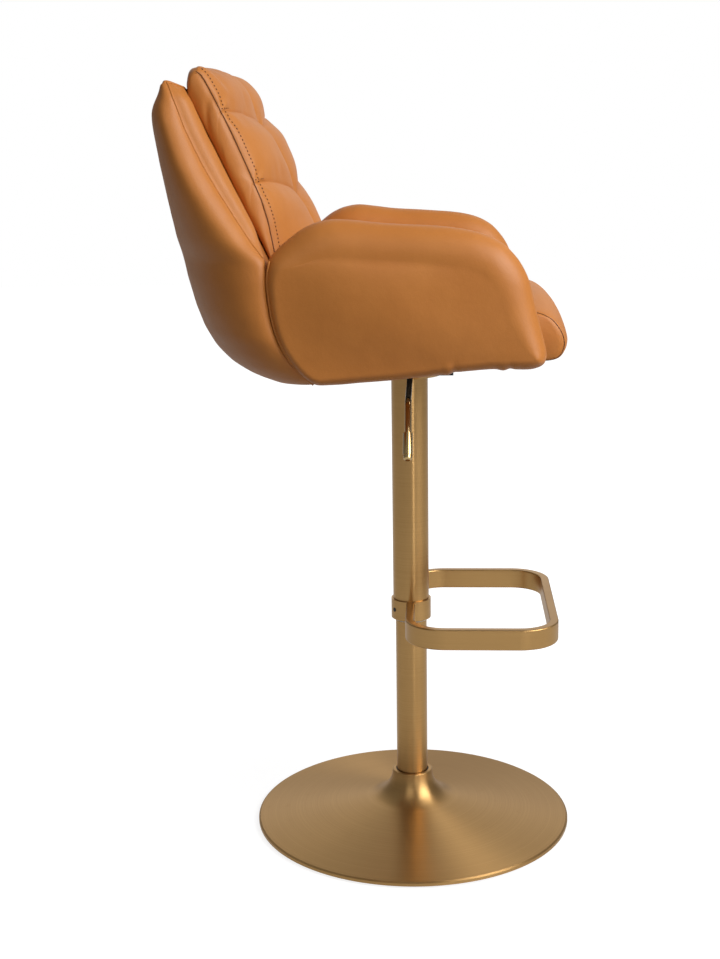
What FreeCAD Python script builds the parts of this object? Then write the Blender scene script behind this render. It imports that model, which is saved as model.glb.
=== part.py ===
"""Bar stool with footrest: a gas-lift column on a trumpet base, with an upholstered bucket seat.

Millimetres, +Z up. The origin is on the floor, on the column's axis. The sitter faces -Y,
and the sitter's right hand, with the lever, is at -X.
"""

import FreeCAD, Part
import Sketcher
import math
import os
import re

DOC = FreeCAD.newDocument("bar_stool")
SHEET = DOC.addObject("Spreadsheet::Sheet", "Sizes")

# Each size that can be set by itself: alias, value, what it is.
SIZES = [
    # base
    ("ring_thick", 3.0, "floor ring, thickness"),
    ("ring_inset", 5.5, "floor ring, distance of its outer edge inside the rim"),
    ("ring_wide", 31.5, "floor ring, width"),
    ("rim_radius", 225.0, "base cover, radius of its rim"),
    ("rim_high", 4.0, "base cover, height of its upright edge"),
    ("rim_bevel", 2.5, "base cover, width of the bevel above the edge"),
    ("rim_bevel_rise", 1.5, "base cover, rise of the bevel above the edge"),
    ("hem_width", 19.0, "base cover, width of the hem turned in under the rim"),
    ("cover_wall", 1.5, "base cover, sheet thickness"),
    ("cone_rise", 31.0, "base cover, rise of the cone from bevel to neck"),
    ("neck_radius", 28.5, "base cover, outer radius of the neck"),
    ("neck_top", 74.0, "base cover, height of the neck above the floor"),
    ("flare_radius", 41.0, "base cover, radius of the flare into the neck"),
    ("neck_edge", 1.2, "base cover, radius of the neck's upper edge"),
    ("neck_gap", 1.6, "gap between the neck's lip and the column"),
    ("neck_ring_high", 6.0, "neck ring, height"),
    ("ballast_inset", 25.0, "ballast disc, distance of its edge inside the rim"),
    ("ballast_thick", 6.0, "ballast disc, thickness"),
    ("ballast_bore", 14.0, "ballast disc, radius of its middle hole"),
    ("socket_wall", 4.0, "column socket, wall"),
    ("socket_high", 48.0, "column socket, height"),
    ("flange_radius", 46.0, "column socket, radius of its flange"),
    ("flange_thick", 5.0, "column socket, thickness of its flange"),
    ("base_screw_pitch", 36.0, "base screws, radius of their circle"),
    ("base_screw_radius", 3.0, "base screws, shank radius"),
    ("base_head_radius", 5.5, "base screws, head radius"),
    ("base_head_high", 3.0, "base screws, head height"),
    # column
    ("lower_radius", 22.0, "lower column, outer radius"),
    ("lower_wall", 2.0, "lower column, wall"),
    ("lower_top", 385.0, "lower column, height of its top above the floor"),
    ("upper_radius", 25.2, "upper column, outer radius"),
    ("upper_wall", 1.7, "upper column, wall"),
    ("collar_low", 305.0, "footrest collar, height of its lower face above the floor"),
    ("bush_lip", 3.0, "slide bush, length that shows below the upper column"),
    ("bush_long", 46.0, "slide bush, length"),
    ("running_gap", 0.05, "radial clearance of each running fit"),
    ("guide_long", 18.0, "guide bush, length inside the lower column"),
    ("guide_cap", 2.0, "guide bush, thickness of its cap"),
    # thrust bearing
    ("foot_thick", 6.0, "column foot, thickness"),
    ("race_outer", 16.0, "bearing races, outer radius"),
    ("race_inner", 6.5, "bearing races, inner radius"),
    ("race_thick", 3.0, "bearing races, thickness"),
    ("ball_radius", 2.5, "bearing balls, radius"),
    ("ball_pitch", 11.5, "bearing balls, radius of their circle"),
    ("clip_radius", 9.0, "retaining clip, outer radius"),
    ("clip_thick", 1.5, "retaining clip, thickness"),
    ("rest_gap", 0.3, "gap between faces that turn or slide past each other"),
    # gas lift
    ("rod_radius", 5.0, "piston rod, radius"),
    ("rod_bottom", 4.5, "piston rod, height of its lower end above the floor"),
    ("gas_bottom", 245.0, "gas cylinder, height of its lower end above the floor"),
    ("gas_radius", 14.0, "gas cylinder, outer radius"),
    ("gas_wall", 2.0, "gas cylinder, wall"),
    ("gas_roof", 26.0, "gas cylinder, solid depth between chamber and valve bore"),
    ("seal_long", 12.0, "gas seal, length"),
    ("head_gap", 4.0, "gap between gas seal and piston head with the seat up"),
    ("head_long", 10.0, "piston head, length"),
    ("taper_small", 13.0, "gas cylinder, radius at the top of its taper"),
    ("taper_long", 37.0, "gas cylinder, length of its taper"),
    ("button_radius", 3.0, "valve button, radius"),
    ("button_proud", 6.4, "valve button, height above the gas cylinder"),
    ("button_travel", 4.2, "valve button, travel"),
    ("button_long", 20.0, "valve button, length inside the gas cylinder"),
    # mechanism
    ("tray_low", 658.0, "mechanism tray, height of its floor above the ground"),
    ("tray_long", 110.0, "mechanism tray, size along X"),
    ("tray_deep", 120.0, "mechanism tray, size along Y"),
    ("tray_wall", 2.5, "mechanism tray, sheet thickness"),
    ("slot_gap", 1.5, "mechanism tray, gap each side of the lever rod in its slot"),
    ("slot_high", 17.0, "mechanism tray, height of the lever's slot"),
    ("tray_flange_long", 170.0, "mechanism tray, flange along X"),
    ("tray_flange_deep", 152.0, "mechanism tray, flange along Y"),
    ("socket_taper_wall", 6.0, "taper socket, wall at its lower end"),
    ("dish_radius", 45.5, "mount dish, radius"),
    ("dish_high", 6.5, "mount dish, height"),
    ("dish_bevel", 3.0, "mount dish, bevel of its lower edge"),
    ("plug_long", 18.0, "column plug, length"),
    ("plug_drop", 2.0, "column plug, gap under the taper socket"),
    ("bolt_radius", 4.0, "seat bolts, shank radius"),
    ("bolt_head_radius", 6.5, "seat bolts, head radius"),
    ("bolt_head_high", 5.0, "seat bolts, head height"),
    ("bolt_x", 71.0, "seat bolts, distance from the middle along X"),
    ("bolt_y", 66.5, "seat bolts, distance from the middle along Y"),
    ("nut_barrel", 5.2, "tee nuts, barrel radius"),
    ("nut_flange", 9.0, "tee nuts, flange radius"),
    ("nut_flange_thick", 1.5, "tee nuts, flange thickness"),
    # lever
    ("lever_y", -3.0, "lever, its plane along Y"),
    ("lever_radius", 4.0, "lever rod, radius"),
    ("pivot_x", 34.0, "lever pivot, distance from the column's axis"),
    ("pivot_up", 22.0, "lever pivot, height above the tray's floor line"),
    ("pin_radius", 3.0, "lever pivot pin, radius"),
    ("rocker_low", 6.0, "lever rocker, height of its lower face above the tray's floor line"),
    ("rocker_high", 21.0, "lever rocker, height"),
    ("rocker_nose", 5.0, "lever rocker, reach past the column's axis"),
    ("rocker_tail", 46.0, "lever rocker, reach out from the column's axis"),
    ("rocker_wide", 14.0, "lever rocker, width"),
    ("rod_up", 11.0, "lever rod, height in the rocker above the tray's floor line"),
    ("bend_x", 205.0, "lever rod, outer bend, distance from the column's axis"),
    ("bend_drop", 9.0, "lever rod, outer bend, drop below the tray's floor line"),
    ("tip_x", 250.0, "lever tip, distance from the column's axis"),
    ("tip_drop", 75.0, "lever tip, drop below the tray's floor line"),
    ("bend_radius", 15.0, "lever rod, radius of its outer bend"),
    ("root_radius", 30.0, "lever rod, radius of its bend at the rocker"),
    ("grip_radius", 6.0, "lever grip, radius"),
    ("grip_long", 29.0, "lever grip, length"),
    ("bead_radius", 5.2, "lever tip bead, radius"),
    ("bead_long", 6.5, "lever tip bead, length"),
    ("bead_bevel", 2.0, "lever tip bead, bevel of its end"),
    # footrest
    ("bar_high", 28.0, "footrest bar, height of the flat bar"),
    ("bar_thick", 12.0, "footrest bar, thickness of the flat bar"),
    ("bar_half_wide", 151.0, "footrest bar, half of its outer width"),
    ("bar_reach", 201.0, "footrest bar, reach of its front face from the column's axis"),
    ("bar_corner", 54.0, "footrest bar, outer radius of its corners"),
    ("bar_edge", 2.0, "footrest bar, radius of its long edges"),
    ("collar_wall", 2.8, "footrest collar, wall"),
    ("collar_screw", 3.0, "collar screws, radius"),
    ("collar_screw_long", 3.2, "collar screws, length"),
    ("collar_screw_turn", 35.0, "collar screws, angle each side of straight back"),
    # seat structure
    ("pan_low", 690.0, "seat pan, height of its lower face above the floor"),
    ("pan_thick", 12.0, "seat pan, thickness"),
    ("pan_half_wide", 190.0, "seat pan, half of its width"),
    ("pan_front", 150.0, "seat pan, reach to the front"),
    ("pan_rear", 98.0, "seat pan, reach to the rear"),
    ("pan_corner", 45.0, "seat pan, radius of its corners"),
    ("dust_thick", 1.2, "dust cover, thickness"),
    ("dust_margin", 5.0, "dust cover, distance inside the seat pan's edge"),
    ("strap_thick", 4.0, "cross straps and back brackets, thickness"),
    ("strap_wide", 25.0, "cross straps and back brackets, width"),
    ("strap_front", 100.0, "front cross strap, distance in front of the column's axis"),
    ("strap_rear", 50.0, "rear cross strap, distance behind the column's axis"),
    ("bracket_x", 110.0, "back brackets, distance from the middle"),
    ("bracket_foot", 32.0, "back brackets, length that lies on the seat pan"),
    ("bracket_rise", 250.0, "back brackets, length of the rising leg"),
    ("recline", 25.4, "back, recline from upright, degrees"),
    ("back_y", 147.0, "back plane, distance behind the column's axis at its foot"),
    ("back_z", 782.0, "back plane, height of its foot above the floor"),
    ("board_half_wide", 160.0, "back board, half of its width"),
    ("board_thick", 10.0, "back board, thickness"),
    ("board_low", 15.0, "back board, start above the foot of the back plane"),
    ("board_long", 215.0, "back board, length up the back plane"),
    ("hoop_thick", 5.0, "arm hoops, thickness of the flat bar"),
    ("hoop_wide", 25.0, "arm hoops, width of the flat bar"),
    ("hoop_front", 122.0, "arm hoops, reach to the front"),
    ("hoop_rear", 118.0, "arm hoops, reach to the rear"),
    ("hoop_high", 110.0, "arm hoops, height"),
    ("hoop_corner", 40.0, "arm hoops, outer radius of the corners"),
    # upholstery
    ("arm_inner", 210.0, "arms, distance of the inner face from the middle"),
    ("arm_outer", 280.0, "arms, distance of the outer face from the middle"),
    ("arm_front_low", 172.0, "arms, lower front corner, reach to the front"),
    ("arm_front_high", 137.0, "arms, upper front corner, reach to the front"),
    ("arm_rear_high", 158.0, "arms, upper rear corner, reach to the rear"),
    ("arm_rear_low", 108.0, "arms, lower rear corner, reach to the rear"),
    ("arm_low_front", 695.0, "arms, height of the underside at the front"),
    ("arm_low_rear", 675.0, "arms, height of the underside at the rear"),
    ("arm_top_front", 857.0, "arms, height of the top at the front"),
    ("arm_top_rear", 880.0, "arms, height of the top at the rear"),
    ("arm_bulge_z", 722.0, "arms, height of the rear edge's lower turn"),
    ("arm_bulge_y", 146.0, "arms, reach of the rear edge's lower turn"),
    ("arm_nose_radius", 88.0, "arms, radius of the upper front corner"),
    ("arm_heel_radius", 58.0, "arms, radius of the upper rear corner"),
    ("arm_toe_radius", 12.0, "arms, radius of the lower front corner"),
    ("arm_edge", 18.0, "arms, radius along the padded edges"),
    ("cushion_half_wide", 203.0, "seat cushion, half of its width"),
    ("cushion_front", 208.0, "seat cushion, reach to the front"),
    ("cushion_tuck", 10.0, "seat cushion, set back of the front's lower edge"),
    ("cushion_low", 696.0, "seat cushion, height of the front's lower edge"),
    ("cushion_top", 775.0, "seat cushion, height of the top at the front"),
    ("cushion_fall", 6.0, "seat cushion, fall of the top from front to rear"),
    ("cushion_brow", 158.0, "seat cushion, where the top turns down, from the axis"),
    ("cushion_belly", 717.0, "seat cushion, height of its foremost line"),
    ("cushion_gap", 0.5, "clearance between upholstered pieces"),
    ("brow_radius", 40.0, "seat cushion, radius where the top turns down"),
    ("belly_radius", 18.0, "seat cushion, radius at its foremost line"),
    ("lip_radius", 9.0, "seat cushion, radius of the front's lower edge"),
    ("cushion_edge", 8.0, "seat cushion, radius of its long edges"),
    ("pad_half_wide", 190.0, "back cushion, half of its width"),
    ("pad_thick", 46.0, "back cushion, thickness"),
    ("pad_long", 284.0, "back cushion, length up the back plane"),
    ("pad_low", -8.0, "back cushion, start above the foot of the back plane"),
    ("pad_edge", 18.0, "back cushion, radius of its front edges"),
    ("shell_front", 104.0, "back shell, front of its lower part from the axis"),
    ("shell_straight", 20.0, "back shell, least length of its straight sides"),
    ("shell_overlap", 6.0, "back shell, start of its arc ahead of the back plane"),
    ("trim_ahead", 500.0, "block that trims the shell's front, depth"),
    ("trim_half_wide", 400.0, "block that trims the shell's front, half width"),
    ("trim_below", 200.0, "block that trims the shell's front, depth under the back plane's foot"),
    ("trim_above", 500.0, "block that trims the shell's front, length up the back plane"),
]

# The outside of the back shell, from its underside to its top: height, reach to the rear, half width.
SHELL_LEVELS = [
    ("sole", 674.0, 196.0, 236.0),
    ("heel", 694.0, 240.0, 262.0),
    ("hip", 735.0, 271.0, 275.0),
    ("waist", 800.0, 293.0, 274.0),
    ("chest", 900.0, 315.0, 258.0),
    ("shoulder", 990.0, 327.0, 238.0),
    ("crown", 1026.0, 318.0, 226.0),
    ("brow", 1040.0, 299.0, 213.0),
]
SHELL_STEPS = 12  # intervals round each section's arc
SHELL_BOW = 0.9  # below 1 the arc is fuller than half an ellipse
for level, height, rear, half_wide in SHELL_LEVELS:
    SIZES.append(("shell_" + level + "_z", height, "back shell, height of its " + level))
    SIZES.append(("shell_" + level + "_rear", rear, "back shell, rear reach at its " + level))
    SIZES.append(("shell_" + level + "_half", half_wide, "back shell, half width at its " + level))

for row, (alias, number, note) in enumerate(SIZES, start=1):
    SHEET.set("A%d" % row, note)
    SHEET.set("B%d" % row, str(number))
    SHEET.setAlias("B%d" % row, alias)
DOC.recompute()

NAMES = {alias for alias, number, note in SIZES}
NODES = {}


def linked(expression):
    """The expression with each size's name led back to the sheet."""
    def full(match):
        word = match.group()
        return "Sizes." + word if word in NAMES else word

    return re.sub(r"[A-Za-z_]\w*", full, str(expression))


def value(expression):
    """The number that an expression of sizes gives."""
    found = SHEET.evalExpression(linked(expression))
    return float(getattr(found, "Value", found))


def bind(item, prop, expression):
    item.setExpression(prop, linked(expression))


def node(name, item):
    """Makes an object a sub-part: its label is the name of its file."""
    item.Label = name
    NODES[name] = item
    return item


# ---- helpers: sketches and bodies ----------------------------------------------------------

def new_body(name):
    return DOC.addObject("PartDesign::Body", name + "_body")


def new_sketch(body, name, role, offset="0"):
    """A sketch on one of the body's own origin planes, moved along the plane's normal."""
    sketch = body.newObject("Sketcher::SketchObject", name + "_sketch")
    plane = [f for f in body.Origin.OriginFeatures if f.Role == role][0]
    sketch.AttachmentSupport = [(plane, "")]
    sketch.MapMode = "FlatFace"
    bind(sketch, "AttachmentOffset.Base.z", offset)
    return sketch


def draw(sketch, outline):
    """A closed outline of straight lines, each corner held by two sizes from the origin."""
    corners = [FreeCAD.Vector(value(a), value(b), 0) for a, b in outline]
    first = sketch.GeometryCount
    for start, end in zip(corners, corners[1:] + corners[:1]):
        sketch.addGeometry(Part.LineSegment(start, end), False)
    for i, (across, up) in enumerate(outline):
        nxt = first + (i + 1) % len(outline)
        sketch.addConstraint(Sketcher.Constraint("Coincident", first + i, 2, nxt, 1))
        for kind, size in (("DistanceX", across), ("DistanceY", up)):
            datum = Sketcher.Constraint(kind, -1, 1, first + i, 1, value(size))
            bind(sketch, "Constraints[%d]" % sketch.addConstraint(datum), size)


def draw_circle(sketch, radius, across="0", up="0"):
    centre = FreeCAD.Vector(value(across), value(up), 0)
    ring = Part.Circle(centre, FreeCAD.Vector(0, 0, 1), value(radius))
    index = sketch.addGeometry(ring, False)
    for kind, size in (("DistanceX", across), ("DistanceY", up)):
        datum = Sketcher.Constraint(kind, -1, 1, index, 3, value(size))
        bind(sketch, "Constraints[%d]" % sketch.addConstraint(datum), size)
    datum = Sketcher.Constraint("Radius", index, value(radius))
    bind(sketch, "Constraints[%d]" % sketch.addConstraint(datum), radius)


def rectangle(across_low, across_high, up_low, up_high):
    return [
        (across_low, up_low),
        (across_high, up_low),
        (across_high, up_high),
        (across_low, up_high),
    ]


def turned(name, outline):
    """A body turned about its Z axis from (radius, height) corners."""
    body = new_body(name)
    sketch = new_sketch(body, name, "XZ_Plane")
    draw(sketch, outline)
    turn = body.newObject("PartDesign::Revolution", name + "_turn")
    turn.Profile = sketch
    turn.ReferenceAxis = (sketch, ["V_Axis"])
    turn.Angle = 360
    DOC.recompute()
    return body


def padded(name, role, outline, low, high):
    """A body padded from an outline on an origin plane, between two heights on its normal."""
    body = new_body(name)
    sketch = new_sketch(body, name, role, low)
    draw(sketch, outline)
    pad = body.newObject("PartDesign::Pad", name + "_pad")
    pad.Profile = sketch
    bind(pad, "Length", "(%s) - (%s)" % (high, low))
    DOC.recompute()
    return body


def pocketed(body, name, role, outline, start, depth, circle=None):
    """Cuts an outline, or a circle, out of a body, from start against the plane's normal."""
    before = body.Shape.Volume
    sketch = new_sketch(body, name, role, start)
    if circle:
        draw_circle(sketch, circle)
    else:
        draw(sketch, outline)
    pocket = body.newObject("PartDesign::Pocket", name + "_pocket")
    pocket.Profile = sketch
    bind(pocket, "Length", depth)
    DOC.recompute()
    if body.Shape.Volume >= before - 1e-6:
        raise RuntimeError(name + " cuts nothing")
    return body


def rounded(body, name, radius, wanted):
    """Fillets the edges of a body's tip that the test picks."""
    base = body.Tip
    names = ["Edge%d" % (i + 1) for i, e in enumerate(base.Shape.Edges) if wanted(e)]
    if not names:
        raise RuntimeError(name + " finds no edge")
    fillet = body.newObject("PartDesign::Fillet", name + "_fillet")
    fillet.Base = (base, names)
    bind(fillet, "Radius", radius)
    DOC.recompute()
    return body


def runs_along(edge, axis):
    """Whether a straight edge runs along a unit axis."""
    if not isinstance(edge.Curve, Part.Line):
        return False
    ends = edge.Vertexes
    way = ends[1].Point.sub(ends[0].Point)
    return abs(abs(way.dot(axis)) - way.Length) < 1e-6


def circle_at(edge, radius, height):
    """Whether an edge is a full turn about Z of this radius at this height."""
    if not isinstance(edge.Curve, Part.Circle):
        return False
    same_radius = abs(edge.Curve.Radius - value(radius)) < 1e-4
    return same_radius and abs(edge.Curve.Center.z - value(height)) < 1e-4


# ---- helpers: primitives and booleans --------------------------------------------------------

def box(name, x, y, z):
    """A block between two expressions along each axis."""
    item = DOC.addObject("Part::Box", name)
    for prop, axis, (low, high) in (("Length", "x", x), ("Width", "y", y), ("Height", "z", z)):
        bind(item, prop, "(%s) - (%s)" % (high, low))
        bind(item, "Placement.Base." + axis, low)
    return item


def cylinder(name, radius, low, high, x="0", y="0"):
    """An upright cylinder between two heights."""
    item = DOC.addObject("Part::Cylinder", name)
    bind(item, "Radius", radius)
    bind(item, "Height", "(%s) - (%s)" % (high, low))
    bind(item, "Placement.Base.x", x)
    bind(item, "Placement.Base.y", y)
    bind(item, "Placement.Base.z", low)
    return item


def fused(name, items):
    item = DOC.addObject("Part::MultiFuse", name)
    item.Shapes = items
    return item


def grouped(name, items):
    item = DOC.addObject("Part::Compound", name)
    item.Links = items
    return item


def cut(name, base, tool):
    item = DOC.addObject("Part::Cut", name)
    item.Base = base
    item.Tool = tool
    return item


def cut_all(name, base, tools):
    """Cuts several solids out of one, and makes the result the sub-part."""
    for index, tool in enumerate(tools):
        base = cut("%s_cut%d" % (name, index), base, tool)
    return node(name, base)


X_AXIS = FreeCAD.Vector(1, 0, 0)
Y_AXIS = FreeCAD.Vector(0, 1, 0)
Z_AXIS = FreeCAD.Vector(0, 0, 1)
SIDES = (("right", "-"), ("left", ""))


# ---- base ------------------------------------------------------------------------------------

BALLAST_TOP = "ring_thick + ballast_thick"
RING_OUTER = "rim_radius - ring_inset"
BEVEL_TOP = "ring_thick + rim_high + rim_bevel_rise"
NECK_INNER = "neck_radius - cover_wall"
LIP_RADIUS = "lower_radius + neck_gap"
CONE_TOP = "%s + cone_rise" % BEVEL_TOP
CONE_SLOPE = "atan(cone_rise / (rim_radius - rim_bevel - neck_radius))"
# The flare's arc ends below the neck's lip.
FLARE = "min(flare_radius; 0.99 * (neck_top - (%s)) / tan((90 deg - %s) / 2))" % (CONE_TOP, CONE_SLOPE)


def base_cover():
    """Spun sheet: hemmed rim, shallow cone, flare and a neck whose lip turns in."""
    body = turned("base_cover", [
        ("rim_radius", "ring_thick"),
        ("rim_radius", "ring_thick + rim_high"),
        ("rim_radius - rim_bevel", BEVEL_TOP),
        ("neck_radius", CONE_TOP),
        ("neck_radius", "neck_top"),
        (LIP_RADIUS, "neck_top"),
        (LIP_RADIUS, "neck_top - cover_wall"),
        (NECK_INNER, "neck_top - cover_wall"),
        (NECK_INNER, "%s - cover_wall" % CONE_TOP),
        ("rim_radius - rim_bevel - cover_wall", "%s - cover_wall" % BEVEL_TOP),
        ("rim_radius - cover_wall", "ring_thick + rim_high - cover_wall / 3"),
        ("rim_radius - cover_wall", "ring_thick + cover_wall"),
        ("rim_radius - hem_width", "ring_thick + cover_wall"),
        ("rim_radius - hem_width", "ring_thick"),
    ])
    rounded(body, "flare_outer", FLARE, lambda e: circle_at(e, "neck_radius", CONE_TOP))
    inner_corner = "%s - cover_wall" % CONE_TOP
    rounded(body, "flare_inner", "%s - 1" % FLARE,
            lambda e: circle_at(e, NECK_INNER, inner_corner))
    rounded(body, "neck_round", "neck_edge", lambda e: circle_at(e, "neck_radius", "neck_top"))
    node("base_cover", body)


def base_inside():
    """Floor ring, ballast, column socket, its screws and the ring that closes the neck."""
    node("floor_ring", turned("floor_ring", rectangle(
        "%s - ring_wide" % RING_OUTER, RING_OUTER, "0", "ring_thick")))
    ring_top = "neck_top - cover_wall"
    node("neck_ring", turned("neck_ring", rectangle(
        "lower_radius", NECK_INNER, "%s - neck_ring_high" % ring_top, ring_top)))
    socket_outer = "lower_radius + socket_wall"
    socket = turned("socket_blank", [
        ("lower_radius", BALLAST_TOP),
        ("flange_radius", BALLAST_TOP),
        ("flange_radius", "%s + flange_thick" % BALLAST_TOP),
        (socket_outer, "%s + flange_thick" % BALLAST_TOP),
        (socket_outer, "%s + socket_high" % BALLAST_TOP),
        ("lower_radius", "%s + socket_high" % BALLAST_TOP),
    ])
    disc = turned("ballast_blank", rectangle(
        "ballast_bore", "rim_radius - ballast_inset", "ring_thick", BALLAST_TOP))
    screws = []
    for index in range(4):
        x = "base_screw_pitch * cos(%d deg)" % (45 + 90 * index)
        y = "base_screw_pitch * sin(%d deg)" % (45 + 90 * index)
        head = cylinder("base_head%d" % index, "base_head_radius", "ring_thick",
                        "ring_thick + base_head_high", x, y)
        shank = cylinder("base_shank%d" % index, "base_screw_radius", "ring_thick",
                         "%s + flange_thick" % BALLAST_TOP, x, y)
        screws.append(fused("base_screw%d" % index, [head, shank]))
    group = node("base_screws", grouped("base_screws", screws))
    cut_all("column_socket", socket, [group])
    cut_all("ballast_disc", disc, [group])


def lower_column():
    """The fixed tube, its foot and the bush at its top that guides the gas cylinder."""
    bore = "lower_radius - lower_wall"
    node("lower_column", turned("lower_column", rectangle(bore, "lower_radius", BALLAST_TOP, "lower_top")))
    node("guide_bush", turned("guide_bush", [
        ("gas_radius + running_gap", "lower_top - guide_long"),
        (bore, "lower_top - guide_long"),
        (bore, "lower_top"),
        ("lower_radius", "lower_top"),
        ("lower_radius", "lower_top + guide_cap"),
        ("gas_radius + running_gap", "lower_top + guide_cap"),
    ]))
    node("column_foot", turned("column_foot", rectangle(
        "rod_radius + running_gap", bore, BALLAST_TOP, "%s + foot_thick" % BALLAST_TOP)))


# ---- thrust bearing and piston ------------------------------------------------------------------

FOOT_TOP = "%s + foot_thick" % BALLAST_TOP
LOWER_RACE_TOP = "%s + race_thick" % FOOT_TOP
BALL_TOP = "%s + 2 * ball_radius" % LOWER_RACE_TOP
UPPER_RACE_LOW = "%s + rest_gap" % BALL_TOP
SEAL_LOW = "gas_bottom + 1"
HEAD_LOW = "%s + seal_long + head_gap" % SEAL_LOW


def bearing():
    node("bearing_lower_race", turned("bearing_lower_race", rectangle(
        "race_inner", "race_outer", FOOT_TOP, LOWER_RACE_TOP)))
    balls = []
    count = 10
    for index in range(count):
        ball = DOC.addObject("Part::Sphere", "ball%d" % index)
        bind(ball, "Radius", "ball_radius")
        turn = "%f deg" % (360 * index / count)
        bind(ball, "Placement.Base.x", "ball_pitch * cos(%s)" % turn)
        bind(ball, "Placement.Base.y", "ball_pitch * sin(%s)" % turn)
        bind(ball, "Placement.Base.z", "%s + ball_radius" % LOWER_RACE_TOP)
        balls.append(ball)
    node("bearing_balls", grouped("bearing_balls", balls))


def piston():
    """The rod that stands on the bearing, with its race, head and clip."""
    race_top = "%s + race_thick" % UPPER_RACE_LOW
    node("bearing_upper_race", turned("bearing_upper_race", rectangle(
        "rod_radius", "race_outer", UPPER_RACE_LOW, race_top)))
    groove_low = "%s - rest_gap - clip_thick" % BALLAST_TOP
    groove_top = "%s - rest_gap" % BALLAST_TOP
    groove = "rod_radius - 1"
    node("piston_rod", turned("piston_rod", [
        ("0", "rod_bottom"),
        ("rod_radius", "rod_bottom"),
        ("rod_radius", groove_low),
        (groove, groove_low),
        (groove, groove_top),
        ("rod_radius", groove_top),
        ("rod_radius", HEAD_LOW),
        (groove, HEAD_LOW),
        (groove, "%s + head_long" % HEAD_LOW),
        ("0", "%s + head_long" % HEAD_LOW),
    ]))
    node("retaining_clip", turned("retaining_clip", rectangle(groove, "clip_radius", groove_low, groove_top)))
    node("piston_head", turned("piston_head", rectangle(
        groove, "gas_radius - gas_wall - running_gap", HEAD_LOW, "%s + head_long" % HEAD_LOW)))


# ---- gas cylinder and upper column ---------------------------------------------------------------

VALVE_TOP = "tray_low - 1"
TAPER_LOW = "tray_low - 1 - taper_long"
UPPER_BORE = "upper_radius - upper_wall"


def gas_cylinder():
    bore = "gas_radius - gas_wall"
    valve_bore = "button_radius + running_gap"
    valve_floor = "%s - button_long - button_travel" % VALVE_TOP
    node("gas_cylinder", turned("gas_cylinder", [
        (bore, "gas_bottom"),
        ("gas_radius", "gas_bottom"),
        ("gas_radius", TAPER_LOW),
        ("taper_small", VALVE_TOP),
        (valve_bore, VALVE_TOP),
        (valve_bore, "%s - 1" % valve_floor),
        ("0", "%s - 1" % valve_floor),
        ("0", "%s - gas_roof" % valve_floor),
        (bore, "%s - gas_roof" % valve_floor),
    ]))
    node("gas_seal", turned("gas_seal", rectangle(
        "rod_radius + running_gap", bore, SEAL_LOW, "%s + seal_long" % SEAL_LOW)))
    node("valve_button", turned("valve_button", rectangle(
        "0", "button_radius", "%s - button_long" % VALVE_TOP, "%s + button_proud" % VALVE_TOP)))


def upper_column():
    node("upper_column", turned("upper_column", rectangle(
        UPPER_BORE, "upper_radius", "collar_low", "tray_low")))
    node("slide_bush", turned("slide_bush", [
        ("lower_radius + running_gap", "collar_low - bush_lip"),
        (UPPER_BORE, "collar_low - bush_lip"),
        (UPPER_BORE, "collar_low - bush_lip + bush_long"),
        ("lower_radius + running_gap", "collar_low - bush_lip + bush_long"),
    ]))
    plug_top = "%s - plug_drop" % TAPER_LOW
    node("column_plug", turned("column_plug", rectangle(
        "gas_radius", UPPER_BORE, "%s - plug_long" % plug_top, plug_top)))
    node("taper_socket", turned("taper_socket", [
        ("gas_radius", TAPER_LOW),
        ("gas_radius + socket_taper_wall", TAPER_LOW),
        ("gas_radius + socket_taper_wall", "tray_low"),
        ("taper_small", "tray_low"),
        ("taper_small", VALVE_TOP),
    ]))
    node("mount_dish", turned("mount_dish", [
        ("upper_radius", "tray_low - dish_high"),
        ("dish_radius - dish_bevel", "tray_low - dish_high"),
        ("dish_radius", "tray_low - dish_high + dish_bevel"),
        ("dish_radius", "tray_low"),
        ("upper_radius", "tray_low"),
    ]))


# ---- footrest --------------------------------------------------------------------------------------

BAR_TOP = "collar_low + bar_high"
COLLAR_OUTER = "upper_radius + collar_wall"


def footrest_bar():
    """A loop of flat bar whose rear run stops at the collar on each side."""
    body = padded("footrest_bar", "XY_Plane", rectangle(
        "-bar_half_wide", "bar_half_wide", "-bar_reach", "bar_thick / 2"), "collar_low", BAR_TOP)
    pocketed(body, "bar_window", "XY_Plane", rectangle(
        "bar_thick - bar_half_wide", "bar_half_wide - bar_thick",
        "bar_thick - bar_reach", "-bar_thick / 2"), BAR_TOP, "bar_high")
    for name, radius, reach in (("bar_inner", "bar_corner - bar_thick", "bar_half_wide - bar_thick"),
                                ("bar_outer", "bar_corner", "bar_half_wide")):
        x = value(reach)
        rounded(body, name, radius, lambda e: (
            runs_along(e, Z_AXIS) and abs(abs(e.CenterOfMass.x) - x) < 1e-4))
    low = value("collar_low")
    high = value(BAR_TOP)
    rounded(body, "bar_long_edges", "bar_edge",
            lambda e: min(abs(e.CenterOfMass.z - low), abs(e.CenterOfMass.z - high)) < 1e-4)
    pocketed(body, "bar_collar_gap", "XY_Plane", None, BAR_TOP, "bar_high", circle=COLLAR_OUTER)
    node("footrest_bar", body)


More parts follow.
